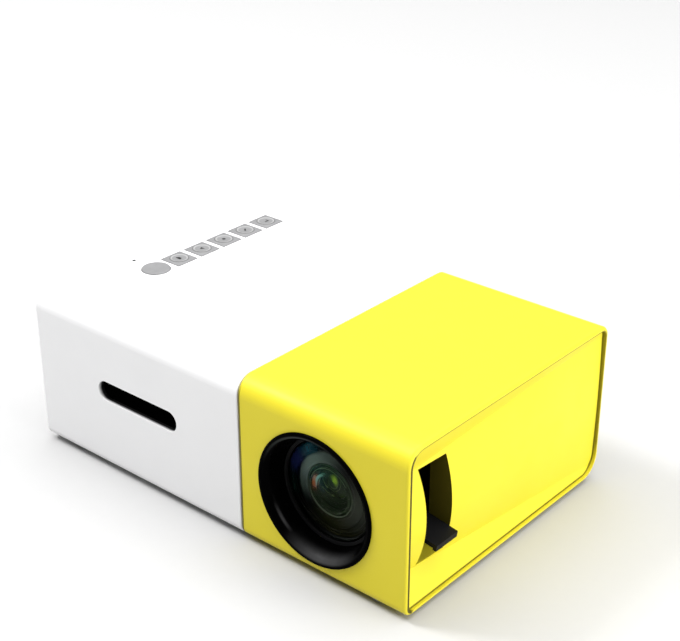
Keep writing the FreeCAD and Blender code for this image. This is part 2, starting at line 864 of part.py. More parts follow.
# ---------------------------------------------------------------- chassis
chassis_top = floor_z + 1.5
chassis_left = left + 4.6
chassis_right = seam_x - collar_wide / 2 - 0.2
board_post_radius = 2.6
main_board_right = left + 19
power_board_z = floor_z + 5.4
power_board_x = (left + 22, tripod_x - 7)
power_board_y = (front + 3.2, optic_y - 24)
main_post_x = main_board_right - 2.4
main_posts = [(main_post_x, front + 10), (main_post_x, 1), (main_post_x, back - 7)]
power_posts = [
    (power_board_x[0] + 4.6, power_board_y[1] - 4.4),
    (power_board_x[1] - 3, power_board_y[1] - 4.4),
    (power_board_x[1] - 3, power_board_y[0] + 4),
]
chassis = new_body("chassis")
sketch = open_sketch(chassis, "XY", floor_z)
draw_rectangle(
    sketch, chassis_left, chassis_right, inner_front + 2.2, inner_back - 5.4, (2, 2, 2, 2),
)
draw_floor_vents(sketch)
pad(sketch, chassis_top - floor_z)
for posts, board_z in ((main_posts, main_board_z), (power_posts, power_board_z)):
    sketch = open_sketch(chassis, "XY", chassis_top - 0.5)
    for post_x, post_y in posts:
        draw_circle(sketch, post_x, post_y, board_post_radius)
    pad(sketch, board_z - chassis_top + 0.5)
sketch = open_sketch(chassis, "XY", chassis_top - 0.5)
draw_circle(sketch, tripod_x, tripod_y, 6.2)
for screw_x, screw_y in white_screws:
    draw_circle(sketch, screw_x, screw_y, 2.9)
pad(sketch, 4)
sketch = open_sketch(chassis, "XY", floor_z - 0.5)
draw_circle(sketch, tripod_x, tripod_y, 4.2)
for screw_x, screw_y in white_screws:
    draw_circle(sketch, screw_x, screw_y, screw_radius - 0.1)
pocket(sketch, 5.3)
for posts, board_z in ((main_posts, main_board_z), (power_posts, power_board_z)):
    sketch = open_sketch(chassis, "XY", board_z - 3)
    for post_x, post_y in posts:
        draw_circle(sketch, post_x, post_y, 1)
    pocket(sketch, 4)

# Threaded brass insert for a tripod, open at the underside.
tripod_deep = 5.5
combine("Cut", [
    rod("z", 4.1, tripod_x, tripod_y, base + 0.3, tripod_deep + 0.8),
    rod("z", tripod_radius, tripod_x, tripod_y, base, tripod_deep + 0.3),
], "tripod_insert")

# ---------------------------------------------------------------- main board and sockets
main_board = new_body("main_board")
sketch = open_sketch(main_board, "XY", main_board_z)
draw_rectangle(
    sketch, left + 3.1, main_board_right, inner_front + 1.4, inner_back - 1.4, (1, 1, 1, 1),
)
for post_x, post_y in main_posts:
    draw_circle(sketch, post_x, post_y, 1.25)
pad(sketch, board_thick)

socket_front = port_face_x + 0.2


def make_socket(port, deep, tongue):
    # A pressed-metal shell round a mouth with a plastic tongue in it.
    middle = socket_z + port["high"] / 2
    wide, high = port["mouth"]
    half_wide = port["wide"] / 2
    shell = block(
        (socket_front, socket_front + deep), (port["y"] - half_wide, port["y"] + half_wide),
        (socket_z, socket_z + port["high"]),
    )
    mouth = block(
        (socket_front - 1, socket_front + deep - 2), (port["y"] - wide / 2, port["y"] + wide / 2),
        (middle - high / 2, middle + high / 2),
    )
    parts = [combine("Cut", [shell, mouth])]
    if tongue:
        blade_wide, blade_z, blade_thick = tongue
        parts.append(block(
            (socket_front + 1, socket_front + deep - 1.9),
            (port["y"] - blade_wide / 2, port["y"] + blade_wide / 2),
            (middle + blade_z - blade_thick / 2, middle + blade_z + blade_thick / 2),
        ))
        combine("MultiFuse", parts, port["node"])
    else:
        keep(parts[0], port["node"])


make_socket(hdmi, 11, (11.5, 0, 0.9))
make_socket(usb, 13, (11.2, 1.2, 1.8))
make_socket(card, 14, None)
for node, jack_y in jack_places.items():
    jack_z = socket_z + jack_body / 2
    half_wide = jack_body / 2 - 0.7
    shell = block(
        (white_rib + 0.1, white_rib + 12), (jack_y - half_wide, jack_y + half_wide),
        (socket_z, socket_z + jack_body),
    )
    nose = rod("x", 2.7, socket_front, jack_y, jack_z, white_rib + 0.2 - socket_front)
    bore = rod("x", jack_radius, socket_front - 1, jack_y, jack_z, jack_depth + 1)
    combine("Cut", [combine("MultiFuse", [shell, nose]), bore], node)
power_z = socket_z + jack_body / 2
shell = block(
    (white_rib + 0.1, white_rib + 12), (power_jack_y - 3.9, power_jack_y + 4.4),
    (socket_z, socket_z + jack_body + 0.6),
)
nose = rod("x", 3.7, socket_front, power_jack_y, power_z, white_rib + 0.2 - socket_front)
bore = rod("x", 2.9, socket_front - 1, power_jack_y, power_z, 10)
centre_pin = rod("x", 0.9, socket_front + 1.2, power_jack_y, power_z, 9)
hollow_jack = combine("Cut", [combine("MultiFuse", [shell, nose]), bore])
combine("MultiFuse", [hollow_jack, centre_pin], "power_socket")
infrared_z = socket_z + 3.5
combine("MultiFuse", [
    block(
        (white_rib + 0.3, white_rib + 3), (infrared_y - 1.5, infrared_y + 1.5),
        (socket_z, infrared_z + 2),
    ),
    rod("x", 1.35, port_face_x + 0.1, infrared_y, infrared_z, white_rib - port_face_x + 0.4),
], "infrared_receiver")
chip_x = left + 10
combine("Compound", [
    block((chip_x - 5, chip_x + 5), (-12, -2), (main_board_z - 1.4, main_board_z)),
    block((chip_x - 4, chip_x + 4), (8, 17), (main_board_z - 1, main_board_z)),
], "main_chips")

# ---------------------------------------------------------------- power board
power_board = new_body("power_board")
sketch = open_sketch(power_board, "XY", power_board_z)
draw_rectangle(sketch, *power_board_x, *power_board_y, (1, 1, 1, 1))
for post_x, post_y in power_posts:
    draw_circle(sketch, post_x, post_y, 1.25)
pad(sketch, board_thick)
power_top = power_board_z + board_thick
combine("Compound", [
    rod("z", 3.1, power_board_x[0] + 12, power_board_y[1] - 5.5, power_top, 9),
    rod("z", 3.1, power_board_x[0] + 19.4, power_board_y[1] - 5.5, power_top, 9),
], "power_capacitors")
block(
    (power_board_x[0] + 24, power_board_x[0] + 31), (power_board_y[1] - 9, power_board_y[1] - 2),
    (power_top, power_top + 4), "power_coil",
)
board_screws = []
for posts, board_z in ((main_posts, main_board_z), (power_posts, power_board_z)):
    for post_x, post_y in posts:
        head = rod("z", 1.9, post_x, post_y, board_z + board_thick, 1)
        shank = rod("z", 0.95, post_x, post_y, board_z - 2.5, board_thick + 2.6)
        board_screws.append(combine("MultiFuse", [head, shank]))
combine("Compound", board_screws, "board_screws")

# ---------------------------------------------------------------- speaker behind the slot
mesh_thick = 0.5
speaker_mesh = new_body("speaker_mesh")
sketch = open_sketch(speaker_mesh, "XZ", inner_front)
draw_slot(sketch, slot_x, slot_z, slot_long + 6, slot_wide + 6)
pad(sketch, mesh_thick)
speaker_y = inner_front + mesh_thick
speaker_deep = 3.6
cone_thick = 0.5
speaker_frame = new_body("speaker_frame")
sketch = open_sketch(speaker_frame, "XZ", speaker_y)
draw_slot(sketch, slot_x, slot_z, slot_long + 8, 22)
pad(sketch, speaker_deep)
sketch = open_sketch(speaker_frame, "XZ", speaker_y - 1)
draw_slot(sketch, slot_x, slot_z, slot_long + 4, 18)
pocket(sketch, speaker_deep)
sketch = open_sketch(speaker_frame, "XZ", speaker_y)
draw_circle(sketch, slot_x, slot_z, 6)
pocket(sketch, speaker_deep + 1)
speaker_cone = new_body("speaker_cone")
sketch = open_sketch(speaker_cone, "XZ", speaker_y + 1.4)
draw_slot(sketch, slot_x, slot_z, slot_long + 3.6, 17.6)
pad(sketch, cone_thick)
rod("y", 7.5, slot_x, speaker_y + speaker_deep, slot_z, 3.2, "speaker_magnet")

# ---------------------------------------------------------------- fan
fan_start = left + 21.2
fan_half = fan_side / 2
fan_bore = fan_half - 0.9
hub_radius = 7.2
fan_frame = new_body("fan_frame")
fan_bounds = (optic_y - fan_half, optic_y + fan_half, lens_z - fan_half, lens_z + fan_half)
sketch = open_sketch(fan_frame, "YZ", fan_start)
draw_rectangle(sketch, *fan_bounds, (2, 2, 2, 2))
draw_circle(sketch, optic_y, lens_z, fan_bore)
pad(sketch, fan_deep)
strut = 1.2
sketch = open_sketch(fan_frame, "YZ", fan_start + fan_deep - strut)
draw_rectangle(sketch, fan_bounds[0] + 0.5, fan_bounds[1] - 0.5, lens_z - 1, lens_z + 1)
pad(sketch, strut)
sketch = open_sketch(fan_frame, "YZ", fan_start + fan_deep - strut)
draw_rectangle(sketch, optic_y - 1, optic_y + 1, fan_bounds[2] + 0.5, fan_bounds[3] - 0.5)
pad(sketch, strut)
sketch = open_sketch(fan_frame, "YZ", fan_start + fan_deep - strut)
draw_circle(sketch, optic_y, lens_z, hub_radius)
pad(sketch, strut)
axle_radius = 1.0
sketch = open_sketch(fan_frame, "YZ", fan_start + 3)
draw_circle(sketch, optic_y, lens_z, axle_radius)
pad(sketch, fan_deep - 3 - strut / 2)

fan_rotor = place(new_body("fan_rotor"), 0, optic_y, lens_z)
rotor_start = fan_start + 0.6
rotor_long = fan_deep - strut - 1.2
sketch = open_sketch(fan_rotor, "YZ", rotor_start)
draw_circle(sketch, 0, 0, hub_radius)
pad(sketch, rotor_long)
blade_count = 7
sketch = open_sketch(fan_rotor, "YZ", rotor_start + 0.5)
draw_loop(sketch, [
    (hub_radius - 0.6, -2.6),
    (fan_bore - 0.7, -2.2),
    (fan_bore - 0.7, -1.2),
    (hub_radius - 0.6, -1.4),
])
blade = pad(sketch, rotor_long - 1)
axle_hole = open_sketch(fan_rotor, "YZ", fan_start + 2)
pattern = fan_rotor.newObject("PartDesign::PolarPattern", "Blades")
pattern.Originals = [blade]
pattern.Axis = (axle_hole, ["N_Axis"])
pattern.Angle = 360
pattern.Occurrences = blade_count
fan_rotor.Tip = pattern
draw_circle(axle_hole, 0, 0, axle_radius + 0.05)
pocket(axle_hole, fan_deep)

# ---------------------------------------------------------------- lamp and optics
lamp_x = fan_start + fan_deep
sink_end = lamp_x + 12
heat_sink = new_body("heat_sink")
sink_half = 14.8
sketch = open_sketch(heat_sink, "YZ", sink_end - 2.4)
sink_side = optic_y - sink_half
sink_height = (lens_z - sink_half, lens_z + sink_half)
draw_rectangle(sketch, sink_side, optic_y + sink_half, *sink_height)
pad(sketch, 2.4)
sketch = open_sketch(heat_sink, "YZ", lamp_x + 0.6)
draw_rectangle(sketch, sink_side, sink_side + 1, *sink_height)
fin = pad(sketch, 9.4)
fins = heat_sink.newObject("PartDesign::LinearPattern", "Fins")
fins.Originals = [fin]
fins.Direction = (sketch, ["H_Axis"])
bind(fins, "Length", 2 * sink_half - 1)
fins.Occurrences = 10
heat_sink.Tip = fins

board_x = sink_end
block((board_x, board_x + 1.6), (optic_y - 12, optic_y + 12), (lens_z - 12, lens_z + 12), "lamp_board")
block(
    (board_x + 1.6, board_x + 2.8), (optic_y - 3.5, optic_y + 3.5), (lens_z - 3.5, lens_z + 3.5),
    "lamp_emitter",
)
housing_left = board_x + 16
reflector_wall = 0.9
cone_start = board_x + 1.7
cone_long = housing_left - 0.4 - cone_start


def cone(low_radius, high_radius, start, length):
    thing = doc.addObject("Part::Cone", "Cone")
    bind(thing, "Radius1", low_radius)
    bind(thing, "Radius2", high_radius)
    bind(thing, "Height", length)
    return place(thing, start, optic_y, lens_z, turns["x"])


throat, mouth = 5.6, 14
combine("Cut", [
    cone(throat + reflector_wall, mouth + reflector_wall, cone_start, cone_long),
    cone(throat, mouth, cone_start, cone_long),
], "reflector")
condenser = place(new_body("condenser_glass"), 0, optic_y, lens_z)
sketch = open_sketch(condenser, "XY")
condenser_radius = 11.4
condenser_x = housing_left - 3.3
condenser_sphere = dome(size("condenser_radius", condenser_radius), 4)
draw_loop(sketch, [
    (condenser_x - 5, 0),
    (condenser_x, 0),
    (condenser_x, condenser_radius),
    (condenser_x - 1, condenser_radius, (condenser_x - 5 + condenser_sphere, 0, 1)),
])
revolve(sketch, "H_Axis")

# The optics housing: a straight run to the fold mirror, then out to the lens.
housing_low = floor_z + collar_thick + 0.5
housing_high = lens_z + 14
housing_wall = 1.5
housing_back = optic_y + 22
housing_right = yellow_rib - 1.7
mirror_sum = lens_x + optic_y
wall_sum = mirror_sum + 5.4


def draw_housing(sketch, inset):
    slant = wall_sum - inset * math.sqrt(2)
    far_x = housing_right - inset
    far_y = housing_back - inset
    draw_loop(sketch, [
        (housing_left + inset, housing_front + inset),
        (far_x, housing_front + inset),
        (far_x, slant - far_x),
        (slant - far_y, far_y),
        (housing_left + inset, far_y),
    ])


optics_housing = new_body("optics_housing")
sketch = open_sketch(optics_housing, "XY", housing_low)
draw_housing(sketch, 0)
pad(sketch, housing_high - housing_low)
sketch = open_sketch(optics_housing, "XY", floor_z)
for screw_x, screw_y in yellow_screws:
    draw_circle(sketch, screw_x, screw_y, 3.2)
pad(sketch, housing_low - floor_z + 0.5)
sketch = open_sketch(optics_housing, "XY", floor_z - 1)
for screw_x, screw_y in yellow_screws:
    draw_circle(sketch, screw_x, screw_y, screw_radius - 0.1)
pocket(sketch, 6)
sketch = open_sketch(optics_housing, "XY", housing_low + housing_wall)
draw_housing(sketch, housing_wall)
pocket(sketch, housing_high - housing_low)
sketch = open_sketch(optics_housing, "YZ", housing_left - 1)
draw_rectangle(sketch, optic_y - 16, optic_y + 16, lens_z - 12.4, lens_z + 12.4)
pocket(sketch, 4)
sketch = open_sketch(optics_housing, "XZ", housing_front - 1)
draw_circle(sketch, lens_x, lens_z, holder_bore)
pocket(sketch, 4)
housing_lid = new_body("housing_lid")
sketch = open_sketch(housing_lid, "XY", housing_high)
draw_housing(sketch, 0)
pad(sketch, 1.2)

half_wide = 20.3
half_high = 13.4
for node, start, thick in (
    ("collimating_lens", housing_left + 4, 1.6),
    ("display_panel", housing_left + 9, 2.2),
    ("field_lens", housing_left + 14.5, 1.6),
):
    block(
        (start, start + thick), (optic_y - half_wide, optic_y + half_wide),
        (lens_z - half_high, lens_z + half_high), node,
    )
mirror = doc.addObject("Part::Box", "Mirror")
mirror_long, mirror_thick = 42, 2
bind(mirror, "Length", mirror_long)
bind(mirror, "Width", mirror_thick)
bind(mirror, "Height", 26)
half_long = mirror_long / 2 / math.sqrt(2)
place(mirror, lens_x - half_long, optic_y + half_long, lens_z - 13, Rotation(Vector(0, 0, 1), -45))
keep(mirror, "fold_mirror")

# A flat cable from the display panel over the housing to the main board's side.
ribbon_thick = 0.3
ribbon_y = (optic_y - 8, optic_y + 8)
ribbon_x = housing_left + 9.9
ribbon_z = housing_high + 1.25
ribbon_end = main_board_right - 1.4
combine("MultiFuse", [
    block((ribbon_end, ribbon_x + ribbon_thick), ribbon_y, (ribbon_z, ribbon_z + ribbon_thick)),
    block((ribbon_end, ribbon_end + ribbon_thick), ribbon_y, (socket_z, ribbon_z + ribbon_thick)),
    block((ribbon_x, ribbon_x + ribbon_thick), ribbon_y, (lens_z + half_high, ribbon_z + ribbon_thick)),
], "display_ribbon")
sketch = open_sketch(housing_lid, "XY", housing_high - 1)
draw_rectangle(sketch, ribbon_x - 0.5, ribbon_x + 0.8, ribbon_y[0] - 0.5, ribbon_y[1] + 0.5)
pocket(sketch, 4)

# ---------------------------------------------------------------- feet and case screws
feet = []
for x in (-foot_x, foot_x):
    for y in (foot_front_y, foot_back_y):
        feet.append(rod("z", foot_radius, x, y, 0, foot_height + foot_recess))
combine("Compound", feet, "rubber_feet")
case_screws = []
for screw_x, screw_y in white_screws + yellow_screws:
    head = rod("z", screw_head_radius, screw_x, screw_y, base + 0.05, foot_recess - 0.05)
    shank = rod("z", screw_radius - 0.1, screw_x, screw_y, base + foot_recess, 5)
    drive = block(
        (screw_x - 1.5, screw_x + 1.5), (screw_y - 0.3, screw_y + 0.3), (base - 0.2, base + 0.4),
    )
    cross = block(
        (screw_x - 0.3, screw_x + 0.3), (screw_y - 1.5, screw_y + 1.5), (base - 0.2, base + 0.4),
    )
    case_screws.append(combine("Cut", [combine("MultiFuse", [head, shank]), drive, cross]))
combine("Compound", case_screws, "case_screws")

# ---------------------------------------------------------------- checks and export
doc.recompute()
for thing in doc.Objects:
    if "Invalid" in thing.State or "Error" in thing.State:
        raise SystemExit("%s did not compute: %s" % (thing.Label, thing.State))
    if thing.TypeId in ("PartDesign::Pocket", "PartDesign::Groove"):
        if thing.Shape.Volume > thing.BaseFeature.Shape.Volume - 1e-3:
            owner = thing.getParentGeoFeatureGroup()
            raise SystemExit("%s of %s cut nothing" % (thing.Label, owner.Label))
for thing in sub_parts:
    if thing.Shape.isNull() or not thing.Shape.isValid():
        raise SystemExit("%s has no valid shape" % thing.Label)

os.makedirs("parts", exist_ok=True)
for thing in sub_parts:
    thing.Shape.exportStep("parts/%s.step" % thing.Label)
    print("%-20s %9.1f mm3  %d solid(s)" % (thing.Label, thing.Shape.Volume, len(thing.Shape.Solids)))
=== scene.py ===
import json
import math

import bmesh
import bpy
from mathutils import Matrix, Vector


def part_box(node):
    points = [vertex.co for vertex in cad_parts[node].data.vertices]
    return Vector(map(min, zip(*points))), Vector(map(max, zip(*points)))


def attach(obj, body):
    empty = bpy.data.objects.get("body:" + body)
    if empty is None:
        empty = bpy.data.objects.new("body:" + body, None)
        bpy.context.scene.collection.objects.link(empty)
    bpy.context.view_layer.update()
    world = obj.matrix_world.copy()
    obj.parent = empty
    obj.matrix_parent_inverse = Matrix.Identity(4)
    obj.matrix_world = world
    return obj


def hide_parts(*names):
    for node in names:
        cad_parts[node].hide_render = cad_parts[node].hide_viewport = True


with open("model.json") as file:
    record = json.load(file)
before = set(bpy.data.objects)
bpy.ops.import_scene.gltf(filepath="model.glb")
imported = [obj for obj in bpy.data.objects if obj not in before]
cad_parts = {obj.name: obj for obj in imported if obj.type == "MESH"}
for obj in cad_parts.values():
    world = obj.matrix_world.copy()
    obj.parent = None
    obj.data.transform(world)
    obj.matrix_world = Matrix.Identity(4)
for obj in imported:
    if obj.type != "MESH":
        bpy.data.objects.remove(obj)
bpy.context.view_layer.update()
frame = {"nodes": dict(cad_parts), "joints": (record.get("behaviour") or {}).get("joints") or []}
print("frame loaded:", len(frame["nodes"]), "nodes")

joints = {joint["name"]: joint for joint in frame["joints"]}
lensAxis = Vector(joints["focus_turn"]["pos_m"])  # the optical axis runs along Y through here
mm = 0.001  # metres in a millimetre
inMm = 1000  # millimetres in a metre


# shader helpers

class Wire:
    # one output socket, so that shader maths can be written as plain expressions
    def __init__(self, finish, socket):
        self.finish = finish
        self.socket = socket

    def maths(self, operation, *values):
        return self.finish.node("ShaderNodeMath", {"operation": operation}, dict(enumerate(values)))

    def __add__(self, other):
        return self.maths("ADD", self, other)

    def __radd__(self, other):
        return self.maths("ADD", other, self)

    def __sub__(self, other):
        return self.maths("SUBTRACT", self, other)

    def __rsub__(self, other):
        return self.maths("SUBTRACT", other, self)

    def __mul__(self, other):
        return self.maths("MULTIPLY", self, other)

    def __rmul__(self, other):
        return self.maths("MULTIPLY", other, self)

    def __pow__(self, other):
        return self.maths("POWER", self, other)

    def over(self, other):
        return self.maths("GREATER_THAN", self, other)

    def under(self, other):
        return self.maths("LESS_THAN", self, other)

    def far(self):
        return self.maths("ABSOLUTE", self)

    def atLeast(self, other):
        return self.maths("MAXIMUM", self, other)

    def atMost(self, other):
        return self.maths("MINIMUM", self, other)

    def band(self, middle, half):
        # 1 where the value is within half of the middle, else 0
        return (self - middle).far().under(half)

    def waves(self, pitch):
        # a sine along a length in metres, -1 to 1, with its crests pitch mm apart
        return self.maths("SINE", self * (2 * math.pi / (pitch * mm)))

    def rings(self, lines):
        # thin circles drawn on a radius; each line is its radius, half its width and its strength
        drawn = 0
        for middle, half, strength in lines:
            drawn = drawn + self.band(middle, half) * strength
        return drawn


class Finish:
    # a material while it is being made; `shader` holds the values that are the same all over
    def __init__(self, name, shader):
        self.material = bpy.data.materials.new(name)
        self.material.use_nodes = True
        self.nodes = self.material.node_tree.nodes
        self.links = self.material.node_tree.links
        self.shader = self.nodes["Principled BSDF"]
        for socket, value in shader.items():
            self.shader.inputs[socket].default_value = value
        self.place = self.node("ShaderNodeTexCoord", out="Object")

    def node(self, kind, settings=None, sockets=None, out=0):
        made = self.nodes.new(kind)
        for name, value in (settings or {}).items():
            setattr(made, name, value)
        for name, value in (sockets or {}).items():
            if isinstance(value, Wire):
                self.links.new(value.socket, made.inputs[name])
            else:
                made.inputs[name].default_value = value
        return Wire(self, made.outputs[out])

    def feed(self, **wires):
        # Base_Color=wire and so on: underscores stand for the spaces in a socket's name
        for name, wire in wires.items():
            self.links.new(wire.socket, self.shader.inputs[name.replace("_", " ")])

    def axis(self, letter):
        return self.node("ShaderNodeSeparateXYZ", None, {0: self.place}, out=letter)

    def facing(self):
        # the surface's own direction, as three wires
        turned = self.node("ShaderNodeTexCoord", out="Normal")
        return [self.node("ShaderNodeSeparateXYZ", None, {0: turned}, out=letter) for letter in "XYZ"]

    def polar(self, centre):
        # distance from the lens axis in mm, and the turn from +X towards +Z in degrees
        across = self.axis("X") - centre.x
        up = self.axis("Z") - centre.z
        angle = across.maths("ARCTAN2", up, across) * (180 / math.pi)
        return (across * across + up * up) ** 0.5 * inMm, angle

    def outline(self, low, high, corners):
        # mm outside a rounded rectangle in the Y-Z plane; corners: front low, back low, back top, front top
        y = (self.axis("Y") - (low.y + high.y) / 2) * inMm
        z = (self.axis("Z") - (low.z + high.z) / 2) * inMm
        back, up = y.over(0), z.over(0)
        frontLow, backLow, backTop, frontTop = corners
        lower = (1 - back) * frontLow + back * backLow
        upper = (1 - back) * frontTop + back * backTop
        radius = (1 - up) * lower + up * upper
        acrossY = y.far() - (high.y - low.y) / 2 * inMm + radius
        acrossZ = z.far() - (high.z - low.z) / 2 * inMm + radius
        corner = (acrossY.atLeast(0) ** 2 + acrossZ.atLeast(0) ** 2) ** 0.5
        return corner + acrossY.atLeast(acrossZ).atMost(0) - radius

    def lobe(self, angle, middle, spread):
        # 1 at one bearing round the axis, fading to 0 at spread degrees to either side
        turn = self.node("ShaderNodeMath", {"operation": "WRAP"}, {0: angle - middle, 1: -180, 2: 180})
        return self.smooth(turn.far(), spread, 0)

    def fade(self, letter, edge, start, full):
        # along one axis, from 0 at start mm past an edge to 1 at full mm past it
        return self.smooth(self.axis(letter), edge + start * mm, edge + full * mm)

    def smooth(self, amount, low, high):
        # 0 at low, 1 at high, eased at both ends
        sockets = {0: amount, 1: low, 2: high, 3: 0.0, 4: 1.0}
        return self.node("ShaderNodeMapRange", {"clamp": True, "interpolation_type": "SMOOTHSTEP"}, sockets)

    def noise(self, scale, detail=3, roughness=0.55, where=None):
        sockets = {"Vector": where or self.place, "Scale": scale, "Detail": detail, "Roughness": roughness}
        return self.node("ShaderNodeTexNoise", None, sockets)

    def ramp(self, amount, low, high):
        # 0 at low, 1 at high, in a straight line
        sockets = {0: amount, 1: low, 2: high, 3: 0.0, 4: 1.0}
        return self.node("ShaderNodeMapRange", {"clamp": True}, sockets)

    def mix(self, amount, first, second):
        sockets = {0: amount}
        for socket, colour in ((6, first), (7, second)):
            sockets[socket] = colour if isinstance(colour, Wire) or len(colour) == 4 else (*colour, 1)
        return self.node("ShaderNodeMix", {"data_type": "RGBA"}, sockets, out=2)

    def bump(self, height, strength, deep, normal=None):
        # deep is in mm
        sockets = {"Height": height, "Strength": strength, "Distance": deep * mm}
        if normal:
            sockets["Normal"] = normal
        return self.node("ShaderNodeBump", None, sockets, out="Normal")


# finishes on moulded plastic

def mouldedFinish(name, tones, look, gap=None):
    # moulded plastic: spark-eroded grain and faint flow mottling; gap paints shade into the walls of a narrow
    # gap
    finish = Finish(name, {"Specular IOR Level": look["gloss"]})
    mottle = finish.ramp(finish.noise(look["mottleScale"], 2), 0.35, 0.65)
    fleck = finish.ramp(finish.noise(look["fleckScale"], 4, 0.7), 0.62, 0.78)
    tone = finish.mix(mottle * look["mottle"], *tones)
    tone = finish.mix(fleck * look["fleck"], tone, tones[1])
    if gap:
        # painted shade in narrow gaps and recesses, in the gap tone
        tone = finish.mix(gap(finish), tone, look["paintedShadeTone"])
    rough = look["rough"] + (mottle - 0.5) * look["roughVary"]
    grain = finish.noise(look["grainScale"], 2, 0.5)
    swell = finish.noise(look["swellScale"], 1, 0.4)
    normal = finish.bump(grain, look["grain"], 0.04)
    normal = finish.bump(swell, look["swell"], 0.3, normal)
    finish.feed(Base_Color=tone, Roughness=rough, Normal=normal)
    return finish.material


# the painted shade in the sound slot, the joint of the shells and the gap round the end panel, in mm; a fade
# is where a painted shadow starts and where it is full, and shades are strengths; corners are as in
# Finish.outline, and the slack lets the rim's painted shade reach the whole of its inner wall
gapLook = {
    "slotMouth": (0, 1.2), "slotPast": 3.0,
    "seam": 1.0, "seamFade": (-1, -5), "seamShade": 0.8,
    "corners": (1.0, 4.9, 1.8, 3.6), "wide": 0.4, "slack": 0.15, "lip": 0.74, "deep": 7.8, "wallShade": 0.55,
    "edgeLine": 0.3, "edgeDeep": 1.2, "edgeFade": (3, 9), "edgeShade": 0.55,
    "frontLine": 0.6, "frontFade": (1.6, 0.4), "frontShade": 0.92,
    "panelLine": 0.16, "panelShade": 0.55, "openingInset": 0.5, "openingShade": 0.92,
}
shellLow, shellHigh = (Vector(corner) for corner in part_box("yellow_shell"))
panelLow, panelHigh = (Vector(corner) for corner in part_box("focus_end_panel"))


def paintedSlotShade(finish):
    # painted shade inside the sound slot, starting softly at its mouth
    low, high = (Vector(corner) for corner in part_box("speaker_mesh"))
    inX = finish.axis("X").band((low.x + high.x) / 2, (high.x - low.x) / 2)
    inZ = finish.axis("Z").band((low.z + high.z) / 2, (high.z - low.z) / 2)
    mouth = finish.fade("Y", shellLow.y, *gapLook["slotMouth"])
    return inX * inZ * mouth * finish.axis("Y").under(low.y + gapLook["slotPast"] * mm)


def paintedRimShade(finish):
    # painted shade on the rim's inner wall below its edge, and a fine painted shadow line on the edge itself,
    # fading out along the bottom
    x = finish.axis("X")
    outside = finish.outline(panelLow, panelHigh, gapLook["corners"])
    deep = x.under(shellHigh.x - gapLook["lip"] * mm) * x.over(shellHigh.x - gapLook["deep"] * mm)
    wall = outside.under(gapLook["wide"] + gapLook["slack"]) * deep * gapLook["wallShade"]
    front = finish.fade("Y", panelLow.y, *gapLook["frontFade"])
    above = finish.fade("Z", panelLow.z, *gapLook["edgeFade"])
    line = gapLook["edgeLine"] + front * (gapLook["frontLine"] - gapLook["edgeLine"])
    edge = outside.under(line + gapLook["wide"]) * x.over(shellHigh.x - gapLook["edgeDeep"] * mm)
    shade = (above * gapLook["edgeShade"]).atLeast(front * gapLook["frontShade"])
    return wall.atLeast(edge * shade)


def seamAndRim(finish):
    # the shadow of the joint with the white shell, and the end panel's gap
    seam = finish.axis("X").under(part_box("white_shell")[1][0] + gapLook["seam"] * mm)
    below = finish.fade("Z", shellHigh.z, *gapLook["seamFade"])
    return paintedRimShade(finish).atLeast(seam * below * gapLook["seamShade"])


def paintedPanelShade(finish):
    # painted shade on the panel's side walls, a fine painted shadow line along its edge, and painted shade on
    # the opening's walls
    outside = finish.outline(panelLow, panelHigh, gapLook["corners"])
    line = (outside + gapLook["panelLine"]).over(0) * gapLook["panelShade"]
    wall = finish.facing()[1].far().over(0.8)  # what faces the front or the back
    opening = wall * outside.under(-gapLook["openingInset"]) * gapLook["openingShade"]
    return line.atLeast(opening)


satinPaint = {
    "gloss": 0.22, "mottleScale": 60, "fleckScale": 900, "mottle": 0.25, "fleck": 0.1,
    "rough": 0.46, "roughVary": 0.06, "grainScale": 5200, "grain": 0.12, "swellScale": 90, "swell": 0.03,
    # the colour of the shade painted into narrow gaps
    "paintedShadeTone": (0.02, 0.016, 0.002),
}
mattePaint = dict(
    satinPaint, gloss=0.25, rough=0.5, grain=0.25, grainScale=4200, mottle=0.3,
    # near-black shade painted inside the sound slot
    paintedShadeTone=(0.0015, 0.0015, 0.0016),
)
blackMatte = dict(mattePaint, gloss=0.08, rough=0.5, fleck=0.25, mottle=0.5)
blackGloss = dict(satinPaint, gloss=0.03, rough=0.22, grain=0.03, fleck=0.3, mottle=0.6, roughVary=0.05)

plasticTones = {  # the plain tone and the one that it is mottled with
    "white": ((0.82, 0.82, 0.825), (0.78, 0.78, 0.785)),
    "yellow": ((0.71, 0.61, 0.03), (0.67, 0.57, 0.024)),
    "black": ((0.005, 0.005, 0.0055), (0.009, 0.009, 0.0095)),
    "gloss": ((0.0006, 0.0006, 0.0007), (0.0012, 0.0012, 0.0014)),
}
finishes = {
    "white": mouldedFinish("WhiteShellPlastic", plasticTones["white"], mattePaint, paintedSlotShade),
    "yellow": mouldedFinish("YellowShellPaint", plasticTones["yellow"], satinPaint, seamAndRim),
    "panel": mouldedFinish("YellowPanelPaint", plasticTones["yellow"], satinPaint, paintedPanelShade),
    "black": mouldedFinish("BlackMouldedPlastic", plasticTones["black"], blackMatte),
    "gloss": mouldedFinish("BlackPolishedPlastic", plasticTones["gloss"], blackGloss),
}


def metalFinish(name, colour, tint, rough, stretch, scale):
    # metal with drawn or turned streaks: stretch squeezes the noise along one direction
    finish = Finish(name, {"Metallic": 1.0})
    stretched = finish.node("ShaderNodeMapping", None, {"Vector": finish.place, "Scale": stretch})
    streak = finish.noise(scale, 4, 0.6, stretched)
    blotch = finish.ramp(finish.noise(240, 3), 0.3, 0.7)
    tone = finish.mix(streak * 0.5, colour, tint)
    tone = finish.mix(blotch * 0.3, tone, tint)
    finish.feed(
        Base_Color=tone, Roughness=rough + streak * 0.18 + blotch * 0.06,
        Normal=finish.bump(streak, 0.12, 0.03),
    )
    return finish.material


